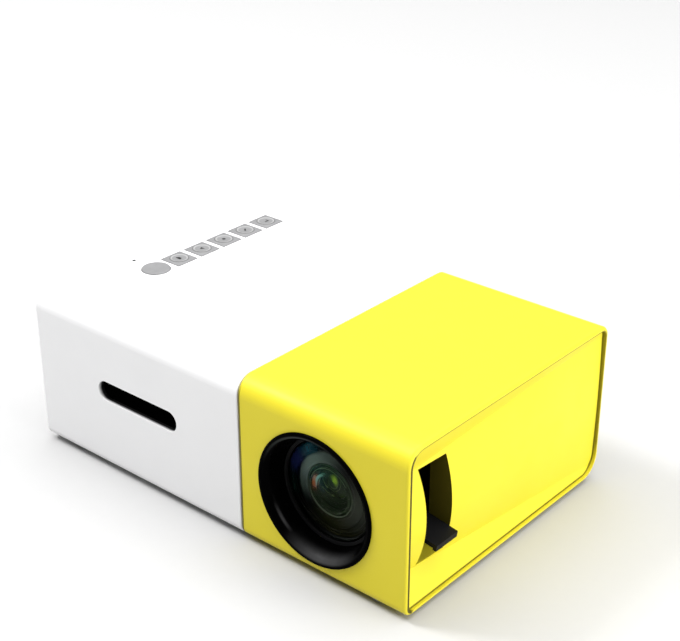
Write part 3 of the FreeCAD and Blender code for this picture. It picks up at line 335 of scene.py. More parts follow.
finishes["steel"] = metalFinish("PlatedSteel", (0.6, 0.6, 0.61), (0.42, 0.42, 0.44), 0.22, (1, 1, 0.1), 3000)
finishes["aluminium"] = metalFinish(
    "BrushedAluminium", (0.76, 0.77, 0.79), (0.6, 0.61, 0.63), 0.28, (0.05, 1, 1), 4000)
finishes["brass"] = metalFinish("TurnedBrass", (0.78, 0.56, 0.22), (0.55, 0.36, 0.11), 0.2, (1, 1, 6), 1500)
finishes["ferrite"] = metalFinish(
    "GroundFerrite", (0.12, 0.12, 0.13), (0.06, 0.06, 0.07), 0.45, (1, 1, 1), 2600)
finishes["mirror"] = metalFinish("SilveredMirror", (0.93, 0.94, 0.94), (0.88, 0.89, 0.9), 0.03, (1, 1, 1), 60)


def boardFinish():
    # green solder mask with copper tracks showing through as slightly lighter lines
    lacquer = {"Specular IOR Level": 0.5, "Coat Weight": 0.3, "Coat Roughness": 0.15}
    finish = Finish("GreenCircuitBoard", lacquer)
    tracks = finish.node(
        "ShaderNodeTexVoronoi", {"feature": "DISTANCE_TO_EDGE", "distance": "MANHATTAN"},
        {"Vector": finish.place, "Scale": 420.0},
    )
    line = tracks.under(0.05)
    weave = finish.noise(2600, 2)
    tone = finish.mix(line, (0.008, 0.13, 0.05), (0.02, 0.24, 0.09))
    tone = finish.mix(weave * 0.3, tone, (0.004, 0.08, 0.03))
    normal = finish.bump(line * 0.6 + weave * 0.2, 0.3, 0.04)
    finish.feed(Base_Color=tone, Roughness=0.34 + weave * 0.15, Normal=normal)
    return finish.material


finishes["board"] = boardFinish()


threadPitch = 0.55  # mm


def clothFinish():
    # fine woven dust mesh: two crossing sets of threads
    finish = Finish("BlackDustMesh", {"Specular IOR Level": 0.0})
    threads = []
    for letter in ("X", "Z"):
        threads.append(finish.axis(letter).waves(threadPitch) * 0.5 + 0.5)
    over = threads[0].atLeast(threads[1])
    fuzz = finish.noise(3000, 3)
    tone = finish.mix(over, (0.0001, 0.0001, 0.0001), (0.0006, 0.0006, 0.0006))
    finish.feed(Base_Color=tone, Roughness=0.7 + fuzz * 0.2, Normal=finish.bump(over + fuzz * 0.3, 0.6, 0.1))
    return finish.material


finishes["cloth"] = clothFinish()


def rubberFinish():
    # dusty grey rubber
    finish = Finish("GreyRubber", {"Specular IOR Level": 0.25})
    dust = finish.ramp(finish.noise(700, 4, 0.7), 0.45, 0.75)
    tone = finish.mix(dust * 0.5, (0.24, 0.24, 0.245), (0.34, 0.34, 0.34))
    finish.feed(
        Base_Color=tone, Roughness=0.72 + dust * 0.15, Normal=finish.bump(finish.noise(5000, 2), 0.35, 0.05),
    )
    return finish.material


finishes["rubber"] = rubberFinish()


trackPitch = 0.9  # mm


def filmFinish():
    # amber film with fine copper tracks along it
    finish = Finish("AmberFilm", {"Specular IOR Level": 0.5})
    tracks = finish.axis("Y").waves(trackPitch)
    tone = finish.mix(tracks * 0.5 + 0.5, (0.32, 0.12, 0.015), (0.55, 0.3, 0.08))
    finish.feed(
        Base_Color=tone, Roughness=0.3 + finish.noise(900, 2) * 0.1, Normal=finish.bump(tracks, 0.2, 0.03),
    )
    return finish.material


finishes["film"] = filmFinish()


def clearFinish():
    # clear moulding with faint draw lines and dust
    finish = Finish("ClearMoulding", {"Transmission Weight": 0.9, "IOR": 1.49})
    dust = finish.ramp(finish.noise(1400, 4, 0.7), 0.6, 0.8)
    tone = finish.mix(dust * 0.3, (0.86, 0.92, 0.95), (0.7, 0.72, 0.72))
    finish.feed(
        Base_Color=tone, Roughness=0.04 + dust * 0.12, Normal=finish.bump(finish.noise(160, 2), 0.04, 0.2),
    )
    return finish.material


finishes["clear"] = clearFinish()

squareKeys = ("select_key", "back_key", "menu_key", "next_key", "input_key")
keyInkAndPaintedLight = {
    "back_key": "point", "select_key": "hat", "menu_key": "dot", "next_key": "slash", "input_key": "hook",
    "plain": (0.225, 0.225, 0.228), "shade": (0.19, 0.19, 0.193), "ink": (0.01, 0.01, 0.01),
    # a painted highlight ring on the raised disc's rim, and painted shade round its foot in the groove tone
    "ring": (0.36, 0.36, 0.36), "ringLine": ((2.3, 0.22, 0.8),),
    "groove": (0.1, 0.1, 0.1), "grooveShadeLine": ((2.68, 0.14, 0.7),),  # lines as in Wire.rings
    "field": 2.0,  # mm from the middle of the key, the space that a mark keeps to
}


def keyCentre(node):
    low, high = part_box(node)
    return (Vector(low) + Vector(high)) / 2


def inkMark(across, along, shape):
    # plain marks about a millimetre wide; across and along are mm from the middle of the key
    if shape == "point":
        return (along + 0.75 - across.far() * 1.5).over(0) * along.under(0.45)
    if shape == "hat":
        return along.band(-0.3, 0.28) * across.band(0, 0.95) + along.band(0.2, 0.24) * across.band(0, 0.6)
    if shape == "dot":
        return (across * across + along * along).under(0.3)
    if shape == "slash":
        return (across + along).band(0, 0.32) * (across - along).band(0, 1.2)
    return across.band(0.4, 0.2) * along.band(0, 0.8) + along.band(0.6, 0.2) * across.band(0, 0.6)


def keyFinish():
    # grey plastic with a painted highlight ring on the raised disc's rim, painted shade round the disc's
    # foot, and a small ink mark on each square key
    finish = Finish("GreyKeyPlastic", {"Specular IOR Level": 0.3})
    mottle = finish.ramp(finish.noise(300, 3), 0.35, 0.65)
    tone = finish.mix(mottle * 0.5, keyInkAndPaintedLight["plain"], keyInkAndPaintedLight["shade"])
    for node in squareKeys:
        centre = keyCentre(node)
        across = (finish.axis("X") - centre.x) * inMm
        along = (finish.axis("Y") - centre.y) * inMm
        radius = (across * across + along * along) ** 0.5
        # painted highlight on the disc's rim, then painted shade round its foot
        tone = finish.mix(radius.rings(keyInkAndPaintedLight["ringLine"]), tone, keyInkAndPaintedLight["ring"])
        tone = finish.mix(radius.rings(keyInkAndPaintedLight["grooveShadeLine"]), tone, keyInkAndPaintedLight["groove"])
        mark = inkMark(across, along, keyInkAndPaintedLight[node]) * radius.under(keyInkAndPaintedLight["field"])
        tone = finish.mix(mark.over(0.5), tone, keyInkAndPaintedLight["ink"])
    grain = finish.noise(4200, 2, 0.5)
    finish.feed(Base_Color=tone, Roughness=0.42 + mottle * 0.08, Normal=finish.bump(grain, 0.2, 0.04))
    return finish.material


finishes["grey"] = keyFinish()

# in the lens finishes, which paint reflections and highlights, a glow is its bearing and spread, in degrees
# round the lens axis from +X towards +Z; a fade is the radius in mm where a colour starts and where it is
# full; lines as in Wire.rings
nearMiddle = (-0.9, 1.2)  # mm from the lens axis along X and Z


def nearPolar(finish):
    # polar about where the smallest glasses seem to lie, looking into the curved front glass
    across, up = nearMiddle
    return finish.polar(lensAxis + Vector((across * mm, 0, up * mm)))


# bearings, radii and tones of the painted highlights on the hood; black and worn are its own tones
hoodLook = {
    "black": (0.0004, 0.0004, 0.0004), "worn": (0.0009, 0.0009, 0.001),
    "roll": (-80, 50), "rollIn": (14.7, 15.9), "rollOut": (17.2, 16.4), "rollHighlightTone": (0.055, 0.055, 0.056),
    "crest": (108, 60), "crestRadius": 16.7, "crestFade": (0.45, 0.1), "crestHighlightTone": (0.05, 0.055, 0.052),
    "streak": (-138, 19), "streakRadius": 15.4, "streakFade": (0.26, 0.05), "streakHighlightShare": 0.7,
}


def hoodFinish():
    # polished black with painted highlights: the soft pale roll of light along the bottom of the funnel, a
    # thin one on the crest and a streak
    finish = Finish("PolishedLensHood", {"Specular IOR Level": 0.006})
    radius, angle = finish.polar(lensAxis)
    roll = finish.lobe(angle, *hoodLook["roll"])
    roll = roll * finish.smooth(radius, *hoodLook["rollIn"]) * finish.smooth(radius, *hoodLook["rollOut"])
    fromCrest = (radius - hoodLook["crestRadius"]).far()
    crest = finish.lobe(angle, *hoodLook["crest"]) * finish.smooth(fromCrest, *hoodLook["crestFade"])
    fromStreak = (radius - hoodLook["streakRadius"]).far()
    streak = finish.lobe(angle, *hoodLook["streak"]) * finish.smooth(fromStreak, *hoodLook["streakFade"])
    roll = roll.atLeast(streak * hoodLook["streakHighlightShare"])
    haze = finish.ramp(finish.noise(500, 3), 0.3, 0.7)
    tone = finish.mix(haze, hoodLook["black"], hoodLook["worn"])
    # the painted highlights: the roll of light at the bottom of the funnel, the crest and the streak
    tone = finish.mix(roll * (0.85 + haze * 0.15), tone, hoodLook["rollHighlightTone"])
    tone = finish.mix(crest * 0.8, tone, hoodLook["crestHighlightTone"])
    finish.feed(Base_Color=tone, Roughness=0.2 + haze * 0.05, Normal=finish.bump(haze, 0.03, 0.03))
    return finish.material


# tones and places of the reflections and highlights painted on the dish
dishLook = {
    "deep": (0.0012, 0.0015, 0.001), "olive": (-80, 70), "oliveSheenTone": (0.014, 0.015, 0.004),
    "side": (-8, 75), "sideFade": (12.8, 11.2), "sideReflectionTone": (0.05, 0.058, 0.042),
    "haze": (138, 90), "hazeFade": (10.6, 9.7), "hazeReflectionTone": (0.19, 0.27, 0.22),
    "mouth": 7.3, "mouthTone": (0.008, 0.02, 0.005),
    "lines": ((3.3, 0.14, 1), (4.3, 0.12, 0.7)), "lineGlow": (-90, 120), "ringHighlightTone": (0.16, 0.22, 0.08),
}


def dishFinish():
    # black dish under the front glass, with painted reflections over it: a soft grey-green haze, grey and
    # olive sheen, and ring highlights
    finish = Finish("LensDishPaintedReflections", {"Specular IOR Level": 0.06})
    radius, angle = finish.polar(lensAxis)
    nearRadius, nearAngle = nearPolar(finish)
    cloud = finish.ramp(finish.noise(160, 2), 0.2, 0.8)
    side = finish.lobe(angle, *dishLook["side"]) * finish.smooth(radius, *dishLook["sideFade"])
    haze = finish.lobe(angle, *dishLook["haze"]) * finish.smooth(radius, *dishLook["hazeFade"])
    inside = radius.under(dishLook["mouth"])
    line = nearRadius.rings(dishLook["lines"]) * (0.3 + finish.lobe(nearAngle, *dishLook["lineGlow"]) * 0.6)
    tone = finish.mix(finish.lobe(angle, *dishLook["olive"]) * 0.9, dishLook["deep"], dishLook["oliveSheenTone"])
    tone = finish.mix(side, tone, dishLook["sideReflectionTone"])
    tone = finish.mix(haze * (0.75 + cloud * 0.25), tone, dishLook["hazeReflectionTone"])
    tone = finish.mix(inside, tone, dishLook["mouthTone"])
    tone = finish.mix(line * inside, tone, dishLook["ringHighlightTone"])
    finish.feed(Base_Color=tone, Roughness=0.3 + cloud * 0.1, Normal=finish.bump(cloud, 0.1, 0.05))
    return finish.material


# tones and places of the reflections painted on the front glass; edge is its black ground edge
frontGlassLook = {
    "clear": (0.001, 0.0015, 0.001), "rimIn": (9.6, 11), "rimOut": (13.6, 12.2),
    "blue": (152, 34), "blueReflectionTone": (0.008, 0.012, 0.06),
    "teal": (122, 26), "tealReflectionTone": (0.004, 0.05, 0.07),
    "green": (190, 30), "greenReflectionTone": (0.002, 0.016, 0.01),
    "edge": (12.9, 13.3), "edgeTone": (0.0012, 0.0014, 0.0012),
    "lines": ((12.95, 0.09, 1),), "lineGlow": (-55, 75), "ringHighlightTone": (0.06, 0.07, 0.06),
}


def frontGlassFinish():
    # painted reflections: blue, teal and green near the rim and a fine ring highlight, clear in the middle,
    # black ground edge
    finish = Finish("FrontGlassPaintedReflections", {"Specular IOR Level": 0.03, "IOR": 1.5})
    radius, angle = finish.polar(lensAxis)
    rim = finish.smooth(radius, *frontGlassLook["rimIn"]) * finish.smooth(radius, *frontGlassLook["rimOut"])
    blue, teal, green = (finish.lobe(angle, *frontGlassLook[glow]) for glow in ("blue", "teal", "green"))
    edge = finish.smooth(radius, *frontGlassLook["edge"])
    line = radius.rings(frontGlassLook["lines"]) * finish.lobe(angle, *frontGlassLook["lineGlow"])
    tone = finish.mix(blue, frontGlassLook["clear"], frontGlassLook["blueReflectionTone"])
    tone = finish.mix(teal, tone, frontGlassLook["tealReflectionTone"])
    tone = finish.mix(green * 0.6, tone, frontGlassLook["greenReflectionTone"])
    tone = finish.mix(edge, tone, frontGlassLook["edgeTone"])
    tone = finish.mix(line * 0.8, tone, frontGlassLook["ringHighlightTone"])
    paintedReflection = rim * (blue + teal + green * 0.5)
    dust = finish.ramp(finish.noise(2200, 3, 0.7), 0.66, 0.8)
    solid = 0.1 + paintedReflection * 0.75 + edge * 0.8 + line * 0.6
    finish.feed(Base_Color=tone, Roughness=0.05 + dust * 0.1, Alpha=finish.ramp(solid, 0, 1))
    return finish.material


# tones and places of the reflections and highlights painted on the smaller glass
innerGlassLook = {
    "clear": (0.004, 0.012, 0.002),
    "glow": (115, 120), "glowIn": (1.2, 2.8), "glowTone": (0.02, 0.085, 0.045),
    "amber": (170, 42), "amberIn": (3.4, 4.1), "amberOut": (6.1, 5.0), "amberReflectionTone": (0.36, 0.11, 0.035),
    "pale": (152, 20), "paleIn": (3.9, 4.7), "paleOut": (6.1, 5.2), "paleReflectionTone": (0.45, 0.3, 0.2),
    "cool": (150, 80), "coolRadius": 2.9, "coolFade": (0.55, 0.15), "coolReflectionTone": (0.2, 0.5, 0.4),
    "rimLine": ((6.05, 0.1, 1),), "nearLines": ((2.35, 0.12, 1), (3.4, 0.1, 1)), "nearGlow": (-100, 140),
    "ringHighlightTone": (0.12, 0.17, 0.09), "edge": 6.85, "edgeGlow": (-80, 150), "edgeTone": (0.2, 0.25, 0.17),
}


def innerGlassFinish():
    # the smaller glass, with painted reflections: fine olive ring highlights, an amber glow to the left, a
    # cool arc above it
    finish = Finish("InnerGlassPaintedReflections", {"Specular IOR Level": 0.08, "IOR": 1.5})
    look = innerGlassLook
    radius, angle = finish.polar(lensAxis)
    nearRadius, nearAngle = nearPolar(finish)
    glow = finish.lobe(angle, *look["glow"])
    amber, pale = (
        finish.lobe(angle, *look[name]) * finish.smooth(radius, *look[name + "In"])
        * finish.smooth(radius, *look[name + "Out"]) for name in ("amber", "pale")
    )
    cool = finish.smooth((nearRadius - look["coolRadius"]).far(), *look["coolFade"])
    cool = cool * finish.lobe(nearAngle, *look["cool"])
    rings = nearRadius.rings(look["nearLines"]) * finish.lobe(nearAngle, *look["nearGlow"])
    rings = rings + radius.rings(look["rimLine"])
    edge = radius.over(look["edge"])
    tone = finish.mix(glow, look["clear"], look["glowTone"])
    tone = finish.mix(amber, tone, look["amberReflectionTone"])
    tone = finish.mix(pale * 0.8, tone, look["paleReflectionTone"])
    tone = finish.mix(cool * 0.9, tone, look["coolReflectionTone"])
    tone = finish.mix(rings * 0.75, tone, look["ringHighlightTone"])
    # painted highlight round the glass's edge, brightest low down
    tone = finish.mix(edge * (finish.lobe(angle, *look["edgeGlow"]) * 0.75 + 0.25), tone, look["edgeTone"])
    dust = finish.ramp(finish.noise(2600, 3, 0.7), 0.66, 0.8)
    solid = 0.12 + glow * finish.smooth(nearRadius, *look["glowIn"]) * 0.27
    solid = solid + (amber + cool) * 0.7 + rings * 0.6 + edge * 0.75
    finish.feed(Base_Color=tone, Roughness=0.06 + dust * 0.1, Alpha=finish.ramp(solid, 0, 1))
    return finish.material


# the painted highlight and ring highlights on the deepest glass, and the glow that it emits
deepGlassLook = {
    "dark": (0.025, 0.045, 0.012), "glow": (55, 120), "glowFade": (2.0, 1.0), "glowTone": (0.6, 1.0, 0.05),
    "lines": ((1.75, 0.12, 1), (2.5, 0.1, 0.7)), "ringHighlightTone": (0.22, 0.32, 0.12),
    "unlit": (0, 0, 0), "paintedGlow": (0.4, 0.8, 0.03),
}


def deepGlassFinish():
    # the smallest glass, deep in the barrel, with a painted yellow-green highlight on its upper half that
    # also glows by emission
    finish = Finish("GreenDeepGlass", {"Specular IOR Level": 0.2, "IOR": 1.6, "Emission Strength": 0.3})
    radius, angle = nearPolar(finish)
    glow = finish.lobe(angle, *deepGlassLook["glow"]) * finish.smooth(radius, *deepGlassLook["glowFade"])
    tone = finish.mix(glow, deepGlassLook["dark"], deepGlassLook["glowTone"])
    tone = finish.mix(radius.rings(deepGlassLook["lines"]) * 0.6, tone, deepGlassLook["ringHighlightTone"])
    # the painted highlight also glows by emission, though the glass is no lamp
    paintedGlow = finish.mix(glow, deepGlassLook["unlit"], deepGlassLook["paintedGlow"])
    normal = finish.bump(finish.noise(500, 2), 0.05, 0.1)
    finish.feed(Base_Color=tone, Emission_Color=paintedGlow, Roughness=0.12 + glow * 0.1, Normal=normal)
    return finish.material


finishes["hood"] = hoodFinish()
finishes["dish"] = dishFinish()
finishes["frontGlass"] = frontGlassFinish()
finishes["innerGlass"] = innerGlassFinish()
finishes["deepGlass"] = deepGlassFinish()
print("finishes made:", len(finishes))

# finishes on the CAD nodes
nodeFinishes = {
    "white": ["white_shell", "port_end_panel"],
    "yellow": ["yellow_shell"],
    "panel": ["focus_end_panel"],
    "black": [
        "joining_collar", "lens_barrel", "lens_baffle", "glass_spacer", "lens_holder", "focus_ring",
        "key_switches", "chassis", "main_chips", "speaker_frame", "fan_frame", "fan_rotor",
        "optics_housing", "housing_lid",
    ],
    "gloss": [
        "lens_bezel", "headphone_jack", "av_jack", "power_socket", "infrared_receiver", "status_light",
    ],
    "grey": ["power_button", *squareKeys],
    "steel": [
        "guide_pin", "hdmi_socket", "usb_socket", "card_socket", "key_board_screws", "board_screws",
        "case_screws",
    ],
    "aluminium": ["power_capacitors", "heat_sink", "lamp_board"],
    "brass": ["tripod_insert"],
    "ferrite": ["power_coil", "speaker_magnet"],
    "mirror": ["reflector", "fold_mirror"],
    "board": ["key_board", "main_board", "power_board"],
    "cloth": ["speaker_mesh", "speaker_cone"],
    "rubber": ["rubber_feet"],
    "film": ["display_ribbon"],
    "clear": [
        "front_glass", "middle_glass", "rear_glass", "condenser_glass", "collimating_lens", "field_lens",
        "display_panel", "lamp_emitter",
    ],
}
for finishName, nodeNames in nodeFinishes.items():
    for nodeName in nodeNames:
        for slot in frame["nodes"][nodeName].material_slots:
            slot.material = finishes[finishName]
print("CAD nodes finished")


# modelling helpers
smoothAngle = 35  # degrees, below which an edge is shaded smooth


def startPiece(name, addPrimitive, **place):
    # adds one primitive with nothing else selected, named, in edit mode
    bpy.ops.object.select_all(action="DESELECT")
    addPrimitive(**place)
    piece = bpy.context.object
    piece.name = name
    bpy.ops.object.transform_apply(location=True, rotation=True, scale=True)
    bpy.ops.object.mode_set(mode="EDIT")
    return piece


def pickFaces(piece, wanted):
    # selects the faces whose middle and normal pass a test, in edit mode
    bpy.ops.mesh.select_mode(type="FACE")
    bpy.ops.mesh.select_all(action="DESELECT")
    edited = bmesh.from_edit_mesh(piece.data)
    for face in edited.faces:
        face.select_set(wanted(face.calc_center_median(), face.normal))
    bmesh.update_edit_mesh(piece.data)


def endPiece(piece, finish, body, slot, *nodes):
    # out of edit mode, with its finish, the body that it rides on and the CAD nodes that it stands for
    bpy.ops.object.mode_set(mode="OBJECT")
    bpy.ops.object.shade_smooth_by_angle(angle=math.radians(smoothAngle))
    piece.data.materials.clear()
    piece.data.materials.append(finishes[finish])
    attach(piece, body)
    if nodes:
        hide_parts(*nodes)


def turnPiece(name, profile, sides):
    # a profile of (radius, y) in mm, drawn point by point and spun once about the lens axis
    points = [(lensAxis.x + r * mm, y * mm, lensAxis.z) for r, y in profile]
    piece = startPiece(name, bpy.ops.mesh.primitive_plane_add, size=mm, location=points[0])
    bpy.ops.mesh.select_all(action="SELECT")
    bpy.ops.mesh.merge(type="CENTER")
    for before, after in zip(points, points[1:]):
        step = [b - a for a, b in zip(before, after)]
        bpy.ops.mesh.extrude_vertices_move(TRANSFORM_OT_translate={"value": step})
    bpy.ops.mesh.select_all(action="SELECT")
    bpy.ops.mesh.spin(steps=sides, angle=2 * math.pi, center=(lensAxis.x, 0, lensAxis.z), axis=(0, 1, 0))
    bpy.ops.mesh.select_all(action="SELECT")
    bpy.ops.mesh.remove_doubles(threshold=0.000004)
    bpy.ops.mesh.normals_make_consistent(inside=False)
    return piece


# lens hood: a rolled lip that runs down into a funnel
hood = {
    "lipRadius": 0.55, "lipSteps": 6, "throat": 14.65, "steps": 18, "neckIn": 0.95, "seat": 0.02,
    "skirt": 1.4, "skirtWall": 0.3, "sides": 128,
}  # mm
hoodLow, hoodHigh = (Vector(corner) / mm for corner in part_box("lens_bezel"))
hoodRadius = (hoodHigh.x - hoodLow.x) / 2
hoodFront, hoodBack = hoodLow.y, hoodHigh.y
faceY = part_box("yellow_shell")[0][1] / mm


def makeHood():
    lip = hood["lipRadius"]
    crest = hoodRadius - lip
    neck = hoodRadius - hood["neckIn"]
    seat = faceY - hood["seat"]
    profile = [(neck, hoodBack), (neck, seat), (hoodRadius, seat)]
    for i in range(hood["lipSteps"] + 1):
        turn = math.pi / 2 * i / hood["lipSteps"]
        profile.append((crest + lip * math.cos(turn), hoodFront + lip * (1 - math.sin(turn))))
    for i in range(1, hood["steps"] + 1):  # from the crest one long oval rolls down to the throat
        turn = math.pi / 2 * i / hood["steps"]
        inward = (crest - hood["throat"]) * math.sin(turn)
        profile.append((crest - inward, hoodFront + (hoodBack - hoodFront) * (1 - math.cos(turn))))
    # a short skirt behind the throat, so that no daylight shows beside a lens that is turned right in
    skirtEnd = hoodBack + hood["skirt"]
    outer = hood["throat"] + hood["skirtWall"]
    profile += [(hood["throat"], skirtEnd), (outer, skirtEnd), (outer, hoodBack), profile[0]]
    piece = turnPiece("lensHood", profile, hood["sides"])
    endPiece(piece, "hood", "case", "black_gloss_plastic", "lens_bezel")


makeHood()

# the glasses: domed front glass, stepped dish, smaller glass and the deep one
# all in mm; behind is the distance behind the front glass's foremost point
frontGlass = {
    "rise": 1.45, "chamfer": 0.12, "wall": 0.45, "innerRise": 1.3, "ledge": 0.6, "steps": 14, "sides": 96,
}
dish = {
    "behind": 1.3, "rim": 1.15, "back": 3.2, "backRadius": 8, "backMouth": 5, "backMouthDeep": 1.3,
    # radius and depth down the steps from the rim to the mouth
    "treads": (
        (12.35, 1.1), (12.25, 1.3), (11.45, 1.1), (11.35, 1.25), (10.25, 0.95), (10.1, 0.75),
        (7.9, 0.3), (7.75, 0.4), (7.35, 0.34), (7.2, 0.45), (7.15, 1.1),
    ),
    "coneStart": 6.7, "coneEnd": 3.3, "coneFront": 1.1, "coneDeep": 1.6, "coneSteps": 3,
    "groove": (0.06, 0.35),  # inward and deep
    "sides": 96,
}
innerGlass = {
    "radius": 7.1, "behind": 0.75, "steps": 10, "rise": 0.75, "ledge": 0.15, "chamfer": 0.12,
    "edgeDeep": 0.45, "middleDeep": 0.3, "sides": 72,
}
deepGlass = {"gap": 0.05, "front": 0.9, "rise": 0.8, "deep": 0.4, "steps": 6, "sides": 48}
frontLow, frontHigh = (Vector(corner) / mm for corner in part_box("front_glass"))
dishLow, dishHigh = (Vector(corner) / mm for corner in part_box("lens_baffle"))


def domeProfile(radius, apex, rise, count):
    # from the axis out to the rim over a shallow spherical cap
    sphere = (radius * radius + rise * rise) / (2 * rise)
    rim = math.asin(radius / sphere)
    angles = [rim * i / count for i in range(count + 1)]
    return [(sphere * math.sin(a), apex + sphere * (1 - math.cos(a))) for a in angles]


def makeFrontGlass():
    radius = (frontHigh.x - frontLow.x) / 2
    ledge = radius - frontGlass["ledge"]
    outerRadius = radius - frontGlass["chamfer"]
    outer = domeProfile(outerRadius, frontLow.y, frontGlass["rise"], frontGlass["steps"])
    inside = frontLow.y + frontGlass["wall"]
    inner = domeProfile(ledge, inside, frontGlass["innerRise"], frontGlass["steps"])
    rim = outer[-1][1] + frontGlass["chamfer"]
    profile = outer + [(radius, rim), (radius, frontHigh.y), (ledge, frontHigh.y)] + inner[::-1] + [outer[0]]
    piece = turnPiece("coatedFrontGlass", profile, frontGlass["sides"])
    endPiece(piece, "frontGlass", "lens_carriage", "lens_glass", "front_glass")


def makeDish():
    radius = (dishHigh.x - dishLow.x) / 2
    start = frontLow.y + dish["behind"]
    profile = [(radius, start + dish["back"]), (radius, start + dish["rim"])]
    profile += [(tread, start + depth) for tread, depth in dish["treads"]]
    inward, deep = dish["groove"]
    for i in range(dish["coneSteps"] + 1):
        share = i / dish["coneSteps"]
        ringRadius = dish["coneStart"] + (dish["coneEnd"] - dish["coneStart"]) * share
        depth = start + dish["coneFront"] + dish["coneDeep"] * share
        profile += [(ringRadius, depth), (ringRadius - inward, depth + deep)]
    endDepth = profile[-1][1]
    backMouth = endDepth + dish["backMouthDeep"]
    profile += [(dish["coneEnd"], backMouth), (dish["backMouth"], backMouth)]
    profile += [(dish["backRadius"], start + dish["back"]), profile[0]]
    piece = turnPiece("lensDish", profile, dish["sides"])
    endPiece(piece, "dish", "lens_carriage", "black_matte_plastic", "lens_baffle")
    return endDepth


def makeInnerGlass():
    start = frontLow.y + innerGlass["behind"]
    radius = innerGlass["radius"]
    profile = domeProfile(radius - innerGlass["ledge"], start, innerGlass["rise"], innerGlass["steps"])
    rim = profile[-1][1]
    profile += [(radius, rim + innerGlass["chamfer"]), (radius, rim + innerGlass["edgeDeep"])]
    profile += [(0, rim + innerGlass["middleDeep"]), (0, start)]
    piece = turnPiece("coatedInnerGlass", profile, innerGlass["sides"])
    endPiece(piece, "innerGlass", "lens_carriage", "lens_glass", "middle_glass")


def makeDeepGlass(endDepth):
    radius = dish["coneEnd"] - deepGlass["gap"]
    front = endDepth - deepGlass["front"]
    back = endDepth + deepGlass["deep"]
    profile = domeProfile(radius, front, deepGlass["rise"], deepGlass["steps"])
    profile += [(radius, back), (0, back), (0, front)]
    piece = turnPiece("deepGlass", profile, deepGlass["sides"])
    endPiece(piece, "deepGlass", "lens_carriage", "lens_glass")


makeFrontGlass()
coneEndDepth = makeDish()
makeInnerGlass()
makeDeepGlass(coneEndDepth)
print("lens made")

# keys: bevelled caps with a raised disc, and the dished round button
keyCap = {
    "depth": 2.2, "edge": 0.28, "discRadius": 2.5, "discRise": 0.13, "discDeep": 0.52, "discEdge": 0.1,
    "rimWide": 0.34, "dish": 0.09,
}  # mm
roundCap = {"gap": 0.4, "edge": 0.3, "dish": ((0.5, 0.02), (0.9, 0.05), (0.9, 0.03))}  # mm; dish: inset, drop


def makeSquareKey(node):
    low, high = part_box(node)
    centre = keyCentre(node)
    side = high[1] - low[1]
    plate = high[2] - keyCap["discRise"] * mm
    deep = keyCap["depth"] * mm
    cap = startPiece(
        node + "Cap", bpy.ops.mesh.primitive_cube_add, size=1, scale=(side, side, deep),
        location=(centre.x, centre.y, plate - deep / 2),
    )
    bpy.ops.mesh.select_all(action="SELECT")
    bpy.ops.mesh.bevel(offset=keyCap["edge"] * mm, segments=3)
    bpy.ops.object.mode_set(mode="OBJECT")
    discDeep = keyCap["discDeep"] * mm
    disc = startPiece(
        node + "Disc", bpy.ops.mesh.primitive_cylinder_add, vertices=48, radius=keyCap["discRadius"] * mm,
        depth=discDeep, location=(centre.x, centre.y, high[2] - discDeep / 2),
    )
    pickFaces(disc, lambda middle, normal: normal.z > 0.9)
    bpy.ops.mesh.inset(thickness=keyCap["discEdge"] * mm)
    bpy.ops.mesh.inset(thickness=keyCap["rimWide"] * mm)
    bpy.ops.transform.translate(value=(0, 0, -keyCap["dish"] * mm))
    bpy.ops.object.mode_set(mode="OBJECT")
    bpy.ops.object.select_all(action="DESELECT")
    disc.select_set(True)
    cap.select_set(True)
    bpy.context.view_layer.objects.active = cap
    bpy.ops.object.join()
    bpy.ops.object.mode_set(mode="EDIT")
    endPiece(cap, "grey", node, "grey_plastic", node)


def makeRoundButton():
    low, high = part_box("power_button")
    centre = keyCentre("power_button")
    radius = (high[0] - low[0]) / 2 - roundCap["gap"] * mm
    deep = keyCap["depth"] * mm
    cap = startPiece(
        "powerButtonCap", bpy.ops.mesh.primitive_cylinder_add, vertices=72, radius=radius, depth=deep,
        location=(centre.x, centre.y, high[2] - deep / 2),
    )
    pickFaces(cap, lambda middle, normal: normal.z > 0.9)
    bpy.ops.mesh.bevel(offset=roundCap["edge"] * mm, segments=3)
    pickFaces(cap, lambda middle, normal: normal.z > 0.99)
    for wide, drop in roundCap["dish"]:
        bpy.ops.mesh.inset(thickness=wide * mm)
        bpy.ops.transform.translate(value=(0, 0, -drop * mm))
    endPiece(cap, "grey", "power_button", "grey_plastic", "power_button")


for node in squareKeys:
    makeSquareKey(node)
makeRoundButton()
print("keys made")

# feet: turned rubber pads with a chamfered rim and a shallow ring
foot = {"radius": 3.5, "chamfer": 0.35, "ringIn": 1.1, "ringWall": 0.12, "ringDeep": 0.25}  # mm


